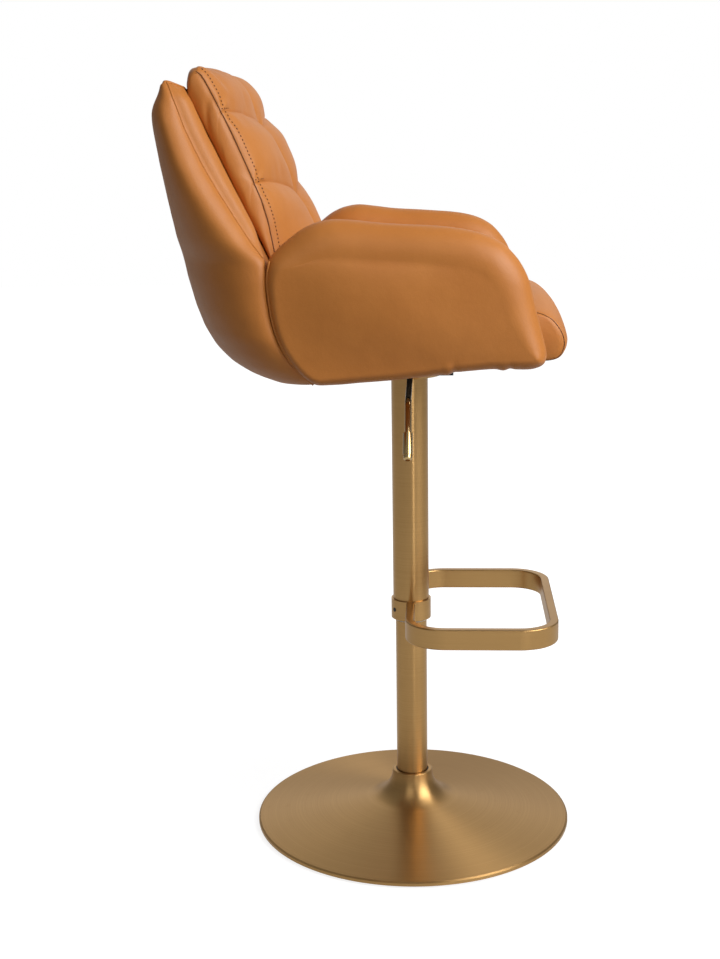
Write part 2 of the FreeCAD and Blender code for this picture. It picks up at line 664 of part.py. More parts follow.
def footrest_collar():
    blank = turned("collar_blank", rectangle("upper_radius", COLLAR_OUTER, "collar_low", BAR_TOP))
    screws = []
    for side, sign in SIDES:
        screw = DOC.addObject("Part::Cylinder", "collar_screw_" + side)
        bind(screw, "Radius", "collar_screw")
        bind(screw, "Height", "collar_screw_long")
        turn = value("%scollar_screw_turn" % sign)
        screw.Placement.Rotation = FreeCAD.Rotation(Z_AXIS, -turn) * FreeCAD.Rotation(X_AXIS, -90)
        bind(screw, "Placement.Base.x", "upper_radius * sin(%scollar_screw_turn * 1 deg)" % sign)
        bind(screw, "Placement.Base.y", "upper_radius * cos(collar_screw_turn * 1 deg)")
        bind(screw, "Placement.Base.z", "collar_low + bar_high / 2")
        screws.append(screw)
    sleeve = cylinder("collar_core", "upper_radius", "collar_low", BAR_TOP)
    trimmed = [cut("collar_grub%d" % i, s, sleeve) for i, s in enumerate(screws)]
    group = node("collar_screws", grouped("collar_screws", trimmed))
    cut_all("footrest_collar", blank, [group])


# ---- mechanism -------------------------------------------------------------------------------------

TRAY_FLOOR = "tray_low + tray_wall"


def mechanism_tray():
    """A pressed tray whose flange is bolted under the seat pan."""
    outer = box("tray_outer", ("-tray_long / 2", "tray_long / 2"), ("-tray_deep / 2", "tray_deep / 2"),
                ("tray_low", "pan_low"))
    flange = box("tray_flange", ("-tray_flange_long / 2", "tray_flange_long / 2"),
                 ("-tray_flange_deep / 2", "tray_flange_deep / 2"), ("pan_low - tray_wall", "pan_low"))
    inner = box("tray_inner", ("tray_wall - tray_long / 2", "tray_long / 2 - tray_wall"),
                ("tray_wall - tray_deep / 2", "tray_deep / 2 - tray_wall"), (TRAY_FLOOR, "pan_low + 1"))
    hole = cylinder("tray_hole", "taper_small", "tray_low - 1", "%s + 1" % TRAY_FLOOR)
    slot = box("tray_slot", ("-tray_long / 2 - 1", "tray_wall - tray_long / 2 + 1"),
               ("lever_y - lever_radius - slot_gap", "lever_y + lever_radius + slot_gap"),
               (TRAY_FLOOR, "%s + slot_high" % TRAY_FLOOR))
    pin = DOC.addObject("Part::Cylinder", "pivot_pin_blank")
    bind(pin, "Radius", "pin_radius")
    bind(pin, "Height", "tray_deep")
    pin.Placement.Rotation = FreeCAD.Rotation(X_AXIS, -90)
    bind(pin, "Placement.Base.x", "-pivot_x")
    bind(pin, "Placement.Base.y", "-tray_deep / 2")
    bind(pin, "Placement.Base.z", "tray_low + pivot_up")
    node("lever_pivot_pin", pin)
    pressed = fused("tray_pressing", [outer, flange])
    cut_all("mechanism_tray", pressed, [inner, hole, slot, pin, NODES["seat_bolts"]])


def seat_bolts():
    """Four bolts up through the tray's flange and the seat pan, in tee nuts."""
    pan_top = "pan_low + pan_thick"
    head_low = "pan_low - tray_wall - bolt_head_high"
    bolts = []
    nuts = []
    for index in range(4):
        x = ("-" if index % 2 else "") + "bolt_x"
        y = ("-" if index // 2 else "") + "bolt_y"
        head = cylinder("bolt_head%d" % index, "bolt_head_radius", head_low, "pan_low - tray_wall", x, y)
        shank = cylinder("bolt_shank%d" % index, "bolt_radius", head_low, pan_top, x, y)
        bolts.append(fused("bolt%d" % index, [head, shank]))
        barrel = cylinder("nut_barrel%d" % index, "nut_barrel", "pan_low + 2", pan_top, x, y)
        collar = cylinder("nut_flange%d" % index, "nut_flange", "%s - nut_flange_thick" % pan_top,
                          pan_top, x, y)
        nuts.append(cut("nut%d" % index, fused("nut_blank%d" % index, [barrel, collar]), shank))
    node("seat_bolts", grouped("seat_bolts", bolts))
    node("tee_nuts", grouped("tee_nuts", nuts))


# ---- lever -----------------------------------------------------------------------------------------

def lever():
    """Rocker on the pivot pin, bent rod, grip and end bead."""
    rocker_bottom = "tray_low + rocker_low"
    blank = box("rocker_blank", ("-rocker_tail", "rocker_nose"),
                ("lever_y - rocker_wide / 2 + 1", "lever_y + rocker_wide / 2 + 1"),
                (rocker_bottom, "%s + rocker_high" % rocker_bottom))
    bore = DOC.addObject("Part::Cylinder", "rocker_bore")
    bind(bore, "Radius", "pin_radius + running_gap")
    bind(bore, "Height", "tray_deep")
    bore.Placement.Rotation = FreeCAD.Rotation(X_AXIS, -90)
    bind(bore, "Placement.Base.x", "-pivot_x")
    bind(bore, "Placement.Base.y", "-tray_deep / 2")
    bind(bore, "Placement.Base.z", "tray_low + pivot_up")

    rod_z = "tray_low + rod_up"
    body = new_body("lever_rod")
    path = new_sketch(body, "lever_path", "XZ_Plane", "-lever_y")
    points = [
        ("-rocker_nose * 2", rod_z),
        ("-rocker_tail", rod_z),
        ("-bend_x", "tray_low - bend_drop"),
        ("-tip_x", "tray_low - tip_drop"),
    ]
    knots = [FreeCAD.Vector(value(a), value(b), 0) for a, b in points]
    reach = knots[3].sub(knots[2])
    reach.normalize()
    knots[3] = knots[3].sub(reach * value("bead_long"))
    bends = [None, value("root_radius"), value("bend_radius"), None]
    edges = rounded_path(knots, bends)
    for piece in edges:
        path.addGeometry(piece, False)
    for index in range(len(edges) - 1):
        path.addConstraint(Sketcher.Constraint("Coincident", index, 2, index + 1, 1))
    ring = new_sketch(body, "lever_section", "YZ_Plane", points[0][0])
    draw_circle(ring, "lever_radius", "lever_y", rod_z)
    pipe = body.newObject("PartDesign::AdditivePipe", "lever_pipe")
    pipe.Profile = ring
    pipe.Spine = (path, ["Edge%d" % (i + 1) for i in range(len(edges))])
    DOC.recompute()
    rod = node("lever_rod", body)

    cut_all("lever_rocker", blank, [bore, rod])
    lean = FreeCAD.Rotation(Z_AXIS, reach_in_space(reach))
    tip = FreeCAD.Vector(-value("tip_x"), value("lever_y"), value("tray_low - tip_drop"))
    grip = node("lever_grip", turned("lever_grip", rectangle(
        "lever_radius", "grip_radius", "-bead_long - grip_long", "-bead_long")))
    bead = node("lever_tip", turned("lever_tip", [
        ("0", "-bead_long"),
        ("bead_radius", "-bead_long"),
        ("bead_radius", "-bead_bevel"),
        ("bead_radius - bead_bevel", "0"),
        ("0", "0"),
    ]))
    for item in (grip, bead):
        item.Placement = FreeCAD.Placement(tip, lean)


def reach_in_space(reach):
    """A direction in the lever's plane as one in space."""
    return FreeCAD.Vector(reach.x, 0, reach.y)


def rounded_path(knots, bends):
    """Lines through the knots with a tangent arc at each knot that has a bend radius."""
    pieces = []
    start = knots[0]
    for index in range(1, len(knots) - 1):
        into = knots[index].sub(knots[index - 1]).normalize()
        out = knots[index + 1].sub(knots[index]).normalize()
        half_turn = into.getAngle(out) / 2
        cut_back = bends[index] * math.tan(half_turn)
        arc_start = knots[index].sub(into * cut_back)
        arc_end = knots[index].add(out * cut_back)
        inward = out.sub(into).normalize()
        centre = knots[index].add(inward * (bends[index] / math.cos(half_turn)))
        middle = centre.sub(inward * bends[index])
        pieces.append(Part.LineSegment(start, arc_start))
        pieces.append(Part.Arc(arc_start, middle, arc_end))
        start = arc_end
    pieces.append(Part.LineSegment(start, knots[-1]))
    return pieces


# ---- seat structure -----------------------------------------------------------------------------------

PAN_TOP = "pan_low + pan_thick"
STRAP_TOP = "pan_low + pan_thick + strap_thick"
HOOP_X = "(arm_inner + arm_outer) / 2"


def seat_pan():
    body = padded("pan_blank", "XY_Plane", rectangle(
        "-pan_half_wide", "pan_half_wide", "-pan_front", "pan_rear"), "pan_low", PAN_TOP)
    rounded(body, "pan_corners", "pan_corner", lambda e: runs_along(e, Z_AXIS))
    cut_all("seat_pan", body, [NODES["tee_nuts"], NODES["seat_bolts"]])
    cover = padded("dust_cover", "XY_Plane", rectangle(
        "dust_margin - pan_half_wide", "pan_half_wide - dust_margin",
        "dust_margin - pan_front", "pan_rear - dust_margin"), "pan_low - dust_thick", "pan_low")
    rounded(cover, "dust_corners", "pan_corner - dust_margin", lambda e: runs_along(e, Z_AXIS))
    pocketed(cover, "dust_window", "XY_Plane", rectangle(
        "-tray_flange_long / 2 - 1", "tray_flange_long / 2 + 1",
        "-tray_flange_deep / 2 - 1", "tray_flange_deep / 2 + 1"), "pan_low", "dust_thick")
    node("dust_cover", cover)


def cross_straps():
    """Two flat bars on the seat pan, from one arm hoop to the other."""
    reach = "%s + hoop_wide / 2" % HOOP_X
    straps = []
    for name, y in (("strap_a", "-strap_front"), ("strap_b", "strap_rear")):
        straps.append(box(name, ("-(%s)" % reach, reach),
                          ("%s - strap_wide / 2" % y, "%s + strap_wide / 2" % y), (PAN_TOP, STRAP_TOP)))
    node("cross_straps", grouped("cross_straps", straps))


def arm_hoop(side, sign):
    """A loop of flat bar that stands on the straps inside an arm."""
    name = side + "_arm_hoop"
    near = "%s(%s) - hoop_wide / 2" % (sign, HOOP_X)
    far = "%s(%s) + hoop_wide / 2" % (sign, HOOP_X)
    body = padded(name, "YZ_Plane", rectangle(
        "-hoop_front", "hoop_rear", STRAP_TOP, "%s + hoop_high" % STRAP_TOP), near, far)
    pocketed(body, name + "_window", "YZ_Plane", rectangle(
        "hoop_thick - hoop_front", "hoop_rear - hoop_thick",
        "%s + hoop_thick" % STRAP_TOP, "%s + hoop_high - hoop_thick" % STRAP_TOP), far, "hoop_wide")
    for kind, radius, ends in (
            ("_inner", "hoop_corner - hoop_thick", ("hoop_thick - hoop_front", "hoop_rear - hoop_thick")),
            ("_outer", "hoop_corner", ("-hoop_front", "hoop_rear"))):
        places = [value(end) for end in ends]
        rounded(body, name + kind, radius, lambda e: (
            runs_along(e, X_AXIS) and min(abs(e.CenterOfMass.y - y) for y in places) < 1e-4))
    node(name, body)


def on_back_plane(item):
    """Places a body drawn upright at Y = 0 on the reclined plane of the back."""
    bind(item, "Placement.Base.y", "back_y")
    bind(item, "Placement.Base.z", "back_z")
    item.Placement.Rotation = FreeCAD.Rotation(X_AXIS, -value("recline"))
    return item


def back_structure():
    """Back board on the reclined plane, and two brackets that tie it to the seat pan."""
    board = padded("back_board", "XZ_Plane", rectangle(
        "-board_half_wide", "board_half_wide", "board_low", "board_low + board_long"),
        "-board_thick", "0")
    node("back_board", on_back_plane(board))
    behind_board = "board_thick / cos(recline * 1 deg)"
    foot_y = "back_y - (back_z - (%s)) * tan(recline * 1 deg) + %s" % (PAN_TOP, behind_board)
    legs = []
    for side, sign in SIDES:
        x = "%sbracket_x" % sign
        span = ("%s - strap_wide / 2" % x, "%s + strap_wide / 2" % x)
        foot = box(side + "_bracket_foot", span,
                   ("%s - bracket_foot" % foot_y, "%s + strap_thick" % foot_y), (PAN_TOP, STRAP_TOP))
        rise = box(side + "_bracket_rise", span, ("0", "strap_thick"), ("0", "bracket_rise"))
        bind(rise, "Placement.Base.y", foot_y)
        bind(rise, "Placement.Base.z", PAN_TOP)
        rise.Placement.Rotation = FreeCAD.Rotation(X_AXIS, -value("recline"))
        legs.append(fused(side + "_bracket", [foot, rise]))
    node("back_brackets", grouped("back_brackets", legs))


# ---- upholstery -----------------------------------------------------------------------------------------

def arm(side, sign):
    """A padded arm panel: nose at the front, heel at the rear, underside rising to the front."""
    name = side + "_arm_blank"
    low, high = ("arm_inner", "arm_outer") if sign == "" else ("-arm_outer", "-arm_inner")
    corners = {
        "toe": ("-arm_front_low", "arm_low_front"),
        "root": ("arm_rear_low", "arm_low_rear"),
        "bulge": ("arm_bulge_y", "arm_bulge_z"),
        "heel": ("arm_rear_high", "arm_top_rear"),
        "nose": ("-arm_front_high", "arm_top_front"),
    }
    body = padded(name, "YZ_Plane", list(corners.values()), low, high)
    for corner, radius in (("toe", "arm_toe_radius"), ("bulge", "arm_heel_radius"),
                           ("heel", "arm_heel_radius"), ("nose", "arm_nose_radius")):
        y = value(corners[corner][0])
        z = value(corners[corner][1])
        rounded(body, name + "_" + corner, radius, lambda e: (
            runs_along(e, X_AXIS) and abs(e.CenterOfMass.y - y) < 1e-4
            and abs(e.CenterOfMass.z - z) < 1e-4))
    faces = (value(low), value(high))
    rounded(body, name + "_edge", "arm_edge", lambda e: (
        min(abs(e.CenterOfMass.x - x) for x in faces) < 1e-4
        and e.BoundBox.XLength < 1e-4 and not on_rear(e)))
    cut_all(side + "_arm", body, [NODES["cross_straps"], NODES[side + "_arm_hoop"]])


def on_rear(edge):
    """Whether an arm's edge belongs to the rear seam, where it meets the back shell."""
    return edge.BoundBox.YMin > value("arm_rear_low") - 1


def seat_cushion():
    """A thick pad whose front falls over the seat pan's edge; its rear lies on the back plane."""
    slope = "tan(recline * 1 deg)"
    top_rear = "cushion_top - cushion_fall"
    body = padded("cushion_blank", "YZ_Plane", [
        ("back_y - (back_z - (%s)) * %s - cushion_gap" % (PAN_TOP, slope), PAN_TOP),
        ("back_y - (back_z - (%s)) * %s - cushion_gap" % (top_rear, slope), top_rear),
        ("-cushion_brow", "cushion_top"),
        ("-cushion_front", "cushion_belly"),
        ("cushion_tuck - cushion_front", "cushion_low"),
        ("-pan_front - cushion_gap", "cushion_low"),
        ("-pan_front - cushion_gap", PAN_TOP),
    ], "-cushion_half_wide", "cushion_half_wide")
    for name, radius, y, z in (
            ("brow", "brow_radius", "-cushion_brow", "cushion_top"),
            ("belly", "belly_radius", "-cushion_front", "cushion_belly"),
            ("lip", "lip_radius", "cushion_tuck - cushion_front", "cushion_low")):
        here = FreeCAD.Vector(0, value(y), value(z))
        rounded(body, "cushion_" + name, radius, lambda e: (
            runs_along(e, X_AXIS) and here.sub(e.CenterOfMass).Length < 1e-3))
    rounded(body, "cushion_sides", "cushion_edge", lambda e: (
        e.BoundBox.XLength < 1e-4 and (over_the_front(e) or on_top(e, top_rear))))
    cut_all("seat_cushion", body, [NODES["cross_straps"], NODES["back_brackets"]])


def over_the_front(edge):
    """Whether an edge of the seat cushion lies ahead of the seat pan, above the lower edge."""
    ahead = edge.BoundBox.YMin < -value("pan_front") - 5
    return ahead and edge.CenterOfMass.z > value("cushion_low") + 0.1


def on_top(edge, top_rear):
    """Whether an edge of the seat cushion lies along its top."""
    return edge.CenterOfMass.y < value("pan_rear") and edge.CenterOfMass.z > value(top_rear)


def back_cushion():
    body = padded("back_cushion", "XZ_Plane", rectangle(
        "-pad_half_wide", "pad_half_wide", "pad_low", "pad_long"), "cushion_gap", "pad_thick")
    front = -value("pad_thick")
    rounded(body, "pad_edges", "pad_edge", lambda e: abs(e.CenterOfMass.y - front) < 1e-4)
    node("back_cushion", on_back_plane(body))


def shell_section(level):
    """A D at one height: half an ellipse behind a straight front, as a closed wire."""
    height = value("shell_%s_z" % level)
    rear = value("shell_%s_rear" % level)
    half = value("shell_%s_half" % level)
    plane_y = value("back_y") + (height - value("back_z")) * math.tan(math.radians(value("recline")))
    front = value("shell_front")
    middle = max(front + value("shell_straight"), plane_y - value("shell_overlap"))
    arc_points = []
    for step in range(SHELL_STEPS + 1):
        turn = math.pi * step / SHELL_STEPS
        bow = math.sin(turn) ** SHELL_BOW
        arc_points.append(FreeCAD.Vector(half * math.cos(turn), middle + (rear - middle) * bow, height))
    curve = Part.BSplineCurve()
    curve.interpolate(arc_points)
    right = FreeCAD.Vector(-half, front, height)
    left = FreeCAD.Vector(half, front, height)
    return Part.Wire([
        curve.toShape(),
        Part.makeLine(arc_points[-1], right),
        Part.makeLine(right, left),
        Part.makeLine(left, arc_points[0]),
    ])


def back_shell():
    """The padded shell: lofted outside, flat reclined front, with room for the arms and the frame."""
    blank = DOC.addObject("Part::Feature", "shell_blank")
    blank.Shape = Part.makeLoft([shell_section(level[0]) for level in SHELL_LEVELS], True, False)
    front = box("shell_front_cut", ("-trim_half_wide", "trim_half_wide"), ("-trim_ahead", "0"),
                ("-trim_below", "trim_above"))
    bind(front, "Placement.Base.y",
         "back_y - trim_ahead * cos(recline * 1 deg) - trim_below * sin(recline * 1 deg)")
    bind(front, "Placement.Base.z",
         "back_z + trim_ahead * sin(recline * 1 deg) - trim_below * cos(recline * 1 deg)")
    front.Placement.Rotation = FreeCAD.Rotation(X_AXIS, -value("recline"))
    cut_all("back_shell", blank, [
        front, DOC.getObject("right_arm_blank_body"), DOC.getObject("left_arm_blank_body"),
        NODES["back_board"], NODES["back_brackets"],
    ])


# ---- build and write -------------------------------------------------------------------------------------

base_cover()
base_inside()
lower_column()
bearing()
piston()
gas_cylinder()
upper_column()
footrest_bar()
footrest_collar()
seat_bolts()
mechanism_tray()
lever()
seat_pan()
cross_straps()
for side_name, side_sign in SIDES:
    arm_hoop(side_name, side_sign)
back_structure()
for side_name, side_sign in SIDES:
    arm(side_name, side_sign)
seat_cushion()
back_cushion()
back_shell()
DOC.recompute()

for item in DOC.Objects:
    if "Invalid" in item.State or "Error" in item.State:
        raise RuntimeError("%s failed: %s" % (item.Name, item.State))
for name, item in NODES.items():
    if item.Shape.isNull() or not item.Shape.isValid():
        raise RuntimeError("%s has no valid shape" % name)
os.makedirs("parts", exist_ok=True)
for name, item in NODES.items():
    item.Shape.exportStep(os.path.join("parts", name + ".step"))
    print("%-22s %d solid(s) %12.1f mm3" % (name, len(item.Shape.Solids), item.Shape.Volume))
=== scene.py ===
"""Looks of the bar stool: leather upholstery sewn over the frame, and brushed gold metal.

Lengths are written in millimetres in the frame of the CAD model: +Z up, the sitter faces -Y,
and the sitter's right hand is at -X. Meshes are made in metres.
"""

import math

import bmesh
import bpy
import numpy as np
from mathutils import Matrix, Vector, noise
from mathutils.bvhtree import BVHTree


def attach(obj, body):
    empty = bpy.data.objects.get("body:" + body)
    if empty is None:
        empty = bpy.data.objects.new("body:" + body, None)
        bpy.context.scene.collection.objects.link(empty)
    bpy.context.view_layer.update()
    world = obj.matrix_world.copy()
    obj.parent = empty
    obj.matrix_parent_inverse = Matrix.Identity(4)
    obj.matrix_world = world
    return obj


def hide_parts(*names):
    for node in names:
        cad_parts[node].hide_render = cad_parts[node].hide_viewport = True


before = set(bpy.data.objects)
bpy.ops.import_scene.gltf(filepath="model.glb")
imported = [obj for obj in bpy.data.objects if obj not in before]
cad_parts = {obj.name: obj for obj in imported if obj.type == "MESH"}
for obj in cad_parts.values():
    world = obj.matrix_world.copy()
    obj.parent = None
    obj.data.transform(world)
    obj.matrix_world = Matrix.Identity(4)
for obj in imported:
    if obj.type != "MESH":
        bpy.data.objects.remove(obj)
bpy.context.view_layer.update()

MM = 0.001


# ---- curves and closed skins ----

def smooth_through(points, closed=False, per_span=12):
    """Closely spaced points on a smooth curve that passes through the given ones."""
    p = np.array(points, float)
    if closed:
        p = np.vstack([p[-1], p, p[0], p[1]])
    else:
        p = np.vstack([2 * p[0] - p[1], p, 2 * p[-1] - p[-2]])
    out = []
    for a, b, c, d in zip(p, p[1:], p[2:], p[3:]):
        for step in range(per_span):
            t = step / per_span
            out.append(0.5 * (2 * b + (c - a) * t + (2 * a - 5 * b + 4 * c - d) * t * t
                              + (3 * b - a - 3 * c + d) * t ** 3))
    if not closed:
        out.append(p[-2])
    return np.array(out)


def spaced(points, count):
    """The same line cut into count equal lengths, ends kept."""
    p = np.asarray(points, float)
    run = np.concatenate([[0], np.cumsum(np.linalg.norm(np.diff(p, axis=0), axis=1))])
    at = np.linspace(0, run[-1], count + 1)
    return np.stack([np.interp(at, run, p[:, k]) for k in range(p.shape[1])], axis=1)


def four_sided(points, corners, counts):
    """A smooth closed outline cut at its four corners, each side evenly spaced."""
    dense = smooth_through(points, closed=True)
    marks = [int(np.argmin(np.linalg.norm(dense - np.array(c), axis=1))) for c in corners]
    dense = np.roll(dense, -marks[0], axis=0)
    marks = [(m - marks[0]) % len(dense) for m in marks] + [len(dense)]
    dense = np.vstack([dense, dense[:1]])
    sides = [spaced(dense[a:b + 1], n)[:-1] for a, b, n in zip(marks, marks[1:], counts)]
    return np.vstack(sides)


def inward(loop):
    """Unit normals of a closed flat loop, pointing inside."""
    way = np.roll(loop, -2, axis=0) - np.roll(loop, 2, axis=0)
    normal = np.stack([-way[:, 1], way[:, 0]], axis=1)
    normal /= np.linalg.norm(normal, axis=1)[:, None]
    area = np.sum(loop[:, 0] * np.roll(loop[:, 1], -1) - np.roll(loop[:, 0], -1) * loop[:, 1])
    return normal if area > 0 else -normal


def eased(values, passes):
    """A ring of numbers smoothed by averaging with its neighbours."""
    for _ in range(passes):
        values = (np.roll(values, 1, axis=0) + values + np.roll(values, -1, axis=0)) / 3
    return values


def step_between(low, high, x):
    t = np.clip((np.asarray(x, float) - low) / (high - low), 0, 1)
    return t * t * (3 - 2 * t)


def patch(loop, n, m, bulge):
    """The inner grid that fills a closed loop of n, m, n and m segments, raised by bulge(u, v)."""
    bottom, right = loop[:n + 1], loop[n:n + m + 1]
    top = loop[n + m:2 * n + m + 1][::-1]
    left = np.vstack([loop[2 * n + m:], loop[:1]])[::-1]
    grid = np.zeros((n + 1, m + 1, 3))
    for i in range(n + 1):
        for j in range(m + 1):
            u, v = i / n, j / m
            flat = ((1 - v) * bottom[i] + v * top[i] + (1 - u) * left[j] + u * right[j]
                    - (1 - u) * (1 - v) * bottom[0] - u * (1 - v) * bottom[n]
                    - (1 - u) * v * top[0] - u * v * top[n])
            grid[i, j] = flat + bulge(u, v)
    return grid


def skin(name, loops, n, m, bulges, seams=(), level=1):
    """A closed quad mesh over a row of closed loops, with a grid over each end.

    Each loop has n, m, n and m segments. seams lists edges kept sharp, as
    (start index, end index, how sharp).
    """
    count = 2 * (n + m)
    verts = [tuple(v) for loop in loops for v in loop]
    faces = []
    for row in range(len(loops) - 1):
        for k in range(count):
            a, b = row * count + k, row * count + (k + 1) % count
            faces.append((a, b, b + count, a + count))
    for row, bulge in ((0, bulges[0]), (len(loops) - 1, bulges[1])):
        grid = patch(np.asarray(loops[row]), n, m, bulge)
        ids = np.full((n + 1, m + 1), -1)
        for k in range(count):
            if k <= n:
                spot = (k, 0)
            elif k <= n + m:
                spot = (n, k - n)
            elif k <= 2 * n + m:
                spot = (2 * n + m - k, m)
            else:
                spot = (0, count - k)
            ids[spot] = row * count + k
        for i in range(1, n):
            for j in range(1, m):
                ids[i, j] = len(verts)
                verts.append(tuple(grid[i, j]))
        for i in range(n):
            for j in range(m):
                faces.append((ids[i, j], ids[i + 1, j], ids[i + 1, j + 1], ids[i, j + 1]))
    mesh = bpy.data.meshes.new(name)
    mesh.from_pydata([[c * MM for c in v] for v in verts], [], [list(map(int, f)) for f in faces])
    work = bmesh.new()
    work.from_mesh(mesh)
    work.verts.ensure_lookup_table()
    bmesh.ops.recalc_face_normals(work, faces=work.faces)
    sharp = work.edges.layers.float.new("crease_edge")
    for a, b, weight in seams:
        edge = work.edges.get((work.verts[a], work.verts[b]))
        if edge:
            edge[sharp] = weight
    for face in work.faces:
        face.smooth = True
    work.to_mesh(mesh)
    work.free()
    piece = bpy.data.objects.new(name, mesh)
    bpy.context.scene.collection.objects.link(piece)
    if level:
        finer = piece.modifiers.new("finer", "SUBSURF")
        finer.levels = finer.render_levels = level
    return piece


def applied(piece):
    """Replaces a piece's mesh by what its modifiers give, and drops them."""
    shown = piece.evaluated_get(bpy.context.evaluated_depsgraph_get())
    mesh = bpy.data.meshes.new_from_object(shown)
    old = piece.data
    piece.modifiers.clear()
    piece.data = mesh
    mesh.name = piece.name
    bpy.data.meshes.remove(old)
    return piece


def moved(piece, push):
    """Moves each vertex by push(place, normal), both in millimetres and unit length."""
    mesh = piece.data
    places = np.zeros(len(mesh.vertices) * 3)
    normals = np.zeros(len(mesh.vertices) * 3)
    mesh.vertices.foreach_get("co", places)
    mesh.vertices.foreach_get("normal", normals)
    places = places.reshape(-1, 3) / MM
    places += push(places, normals.reshape(-1, 3))
    mesh.vertices.foreach_set("co", (places * MM).ravel())
    mesh.update()
    return piece


def uneven(places, size, seed):
    """Smooth noise between -1 and 1 at each place; size is its grain in millimetres."""
    shift = Vector((seed * 7.3, seed * 3.1, seed * 5.7))
    return np.array([noise.noise(Vector(p) / size + shift) for p in places])


def slack(places, normals):
    """The slight unevenness of leather drawn over foam."""
    lift = 0.9 * uneven(places, 70, 1) + 0.25 * uneven(places, 22, 2)
    return normals * lift[:, None]


# ---- node materials ----

class Wire:
    """A socket that can be reckoned with; each operator adds its Math node."""

    def __init__(self, finish, socket):
        self.finish = finish
        self.socket = socket

    def _with(self, operation, *values):
        return self.finish.node("ShaderNodeMath", {"operation": operation}, *values)

    def __add__(self, other):
        return self._with("ADD", self, other)

    __radd__ = __add__

    def __sub__(self, other):
        return self._with("SUBTRACT", self, other)

    def __rsub__(self, other):
        return self._with("SUBTRACT", other, self)

    def __mul__(self, other):
        return self._with("MULTIPLY", self, other)

    __rmul__ = __mul__

    def __truediv__(self, other):
        return self._with("DIVIDE", self, other)

    def __pow__(self, other):
        return self._with("POWER", self, other)

    def between(self, low, high):
        """0 below low, 1 above high, smooth between."""
        return self.finish.node(
            "ShaderNodeMapRange", {"interpolation_type": "SMOOTHSTEP"}, self, low, high, 0.0, 1.0)


class Finish:
    """A node material with a Principled shader."""

    def __init__(self, name, **constants):
        self.material = bpy.data.materials.new(name)
        self.material.use_nodes = True
        self.tree = self.material.node_tree
        self.tree.nodes.clear()
        self.shader = self.tree.nodes.new("ShaderNodeBsdfPrincipled")
        output = self.tree.nodes.new("ShaderNodeOutputMaterial")
        self.tree.links.new(self.shader.outputs[0], output.inputs[0])
        for socket, value in constants.items():
            self.feed(socket.replace("_", " "), value)

    def node(self, kind, settings, *values, out=0, **named):
        """Adds a node: its settings first, then the values or links of its sockets."""
        new = self.tree.nodes.new(kind)
        stops = settings.pop("stops", None)
        for key, value in settings.items():
            setattr(new, key, value)
        if stops:
            ramp = new.color_ramp.elements
            while len(ramp) < len(stops):
                ramp.new(0.5)
            for element, (place, colour) in zip(ramp, stops):
                element.position = place
                element.color = (*colour, 1)
        for key, value in [*enumerate(values), *named.items()]:
            if value is None:
                continue
            socket = new.inputs[key if isinstance(key, int) else key.replace("_", " ")]
            self.join(value, socket)
        return Wire(self, new.outputs[out])

    def join(self, value, socket):
        if isinstance(value, Wire):
            self.tree.links.new(value.socket, socket)
        elif isinstance(value, tuple) and len(value) == 3 and socket.type == "RGBA":
            socket.default_value = (*value, 1)
        else:
            socket.default_value = value

    def feed(self, name, value):
        self.join(value, self.shader.inputs[name])
        return self

    def place(self, scale=(1, 1, 1)):
        """Object coordinates in metres, stretched."""
        here = self.node("ShaderNodeTexCoord", {}, out=3)
        return self.node("ShaderNodeMapping", {}, here, Scale=scale)

    def noise(self, where, scale, detail=2.0, rough=0.5):
        return self.node("ShaderNodeTexNoise", {}, Vector=where, Scale=scale, Detail=detail,
                         Roughness=rough)

    def cells(self, where, scale, feature="F1", out=0):
        return self.node("ShaderNodeTexVoronoi", {"feature": feature}, out=out, Vector=where,
                         Scale=scale)

    def mix(self, factor, first, second, blend="MIX"):
        new = self.tree.nodes.new("ShaderNodeMix")
        new.data_type = "RGBA"
        new.blend_type = blend
        self.join(factor, new.inputs[0])
        self.join(first, new.inputs[6])
        self.join(second, new.inputs[7])
        return Wire(self, new.outputs[2])

    def bump(self, height, distance, strength=1.0, normal=None):
        return self.node("ShaderNodeBump", {}, Height=height, Distance=distance,
                         Strength=strength, Normal=normal)


def hue(red, green, blue):
    """A colour given as 0-255 display values, as the shader wants it."""
    def straight(c):
        c /= 255
        return c / 12.92 if c <= 0.04045 else ((c + 0.055) / 1.055) ** 2.4
    return tuple(straight(c) for c in (red, green, blue))


def leather():
    """Smooth aniline leather: cognac with cloudy depth, fine pores and a soft worn gloss."""
    f = Finish("cognac_leather_grain", Sheen_Weight=0.02, Sheen_Roughness=0.5,
               Specular_IOR_Level=0.42)
    here = f.place()
    cloud = f.noise(here, 9, 4, 0.55).between(0.32, 0.7)
    blotch = f.noise(here, 42, 3, 0.6).between(0.3, 0.75)
    colour = f.mix(cloud, hue(191, 118, 48), hue(196, 123, 52))
    colour = f.mix(blotch * 0.25, colour, hue(185, 112, 44))
    pores = f.cells(here, 1500, "DISTANCE_TO_EDGE")
    grain = f.cells(here, 620, "SMOOTH_F1")
    worn = f.noise(here, 16, 3, 0.5)
    colour = f.mix(pores.between(0.0, 0.12), f.mix(0.12, colour, hue(120, 68, 28)), colour)
    f.feed("Base Color", colour)
    f.feed("Roughness", 0.40 + worn * 0.14 + grain * 0.05)
    coarse = f.bump(f.noise(here, 120, 3, 0.6), 0.0006, 0.35)
    fine = f.bump(grain * 0.7 + pores.between(0.0, 0.2) * 0.3, 0.00012, 0.5, coarse)
    f.feed("Normal", fine)
    return f.material


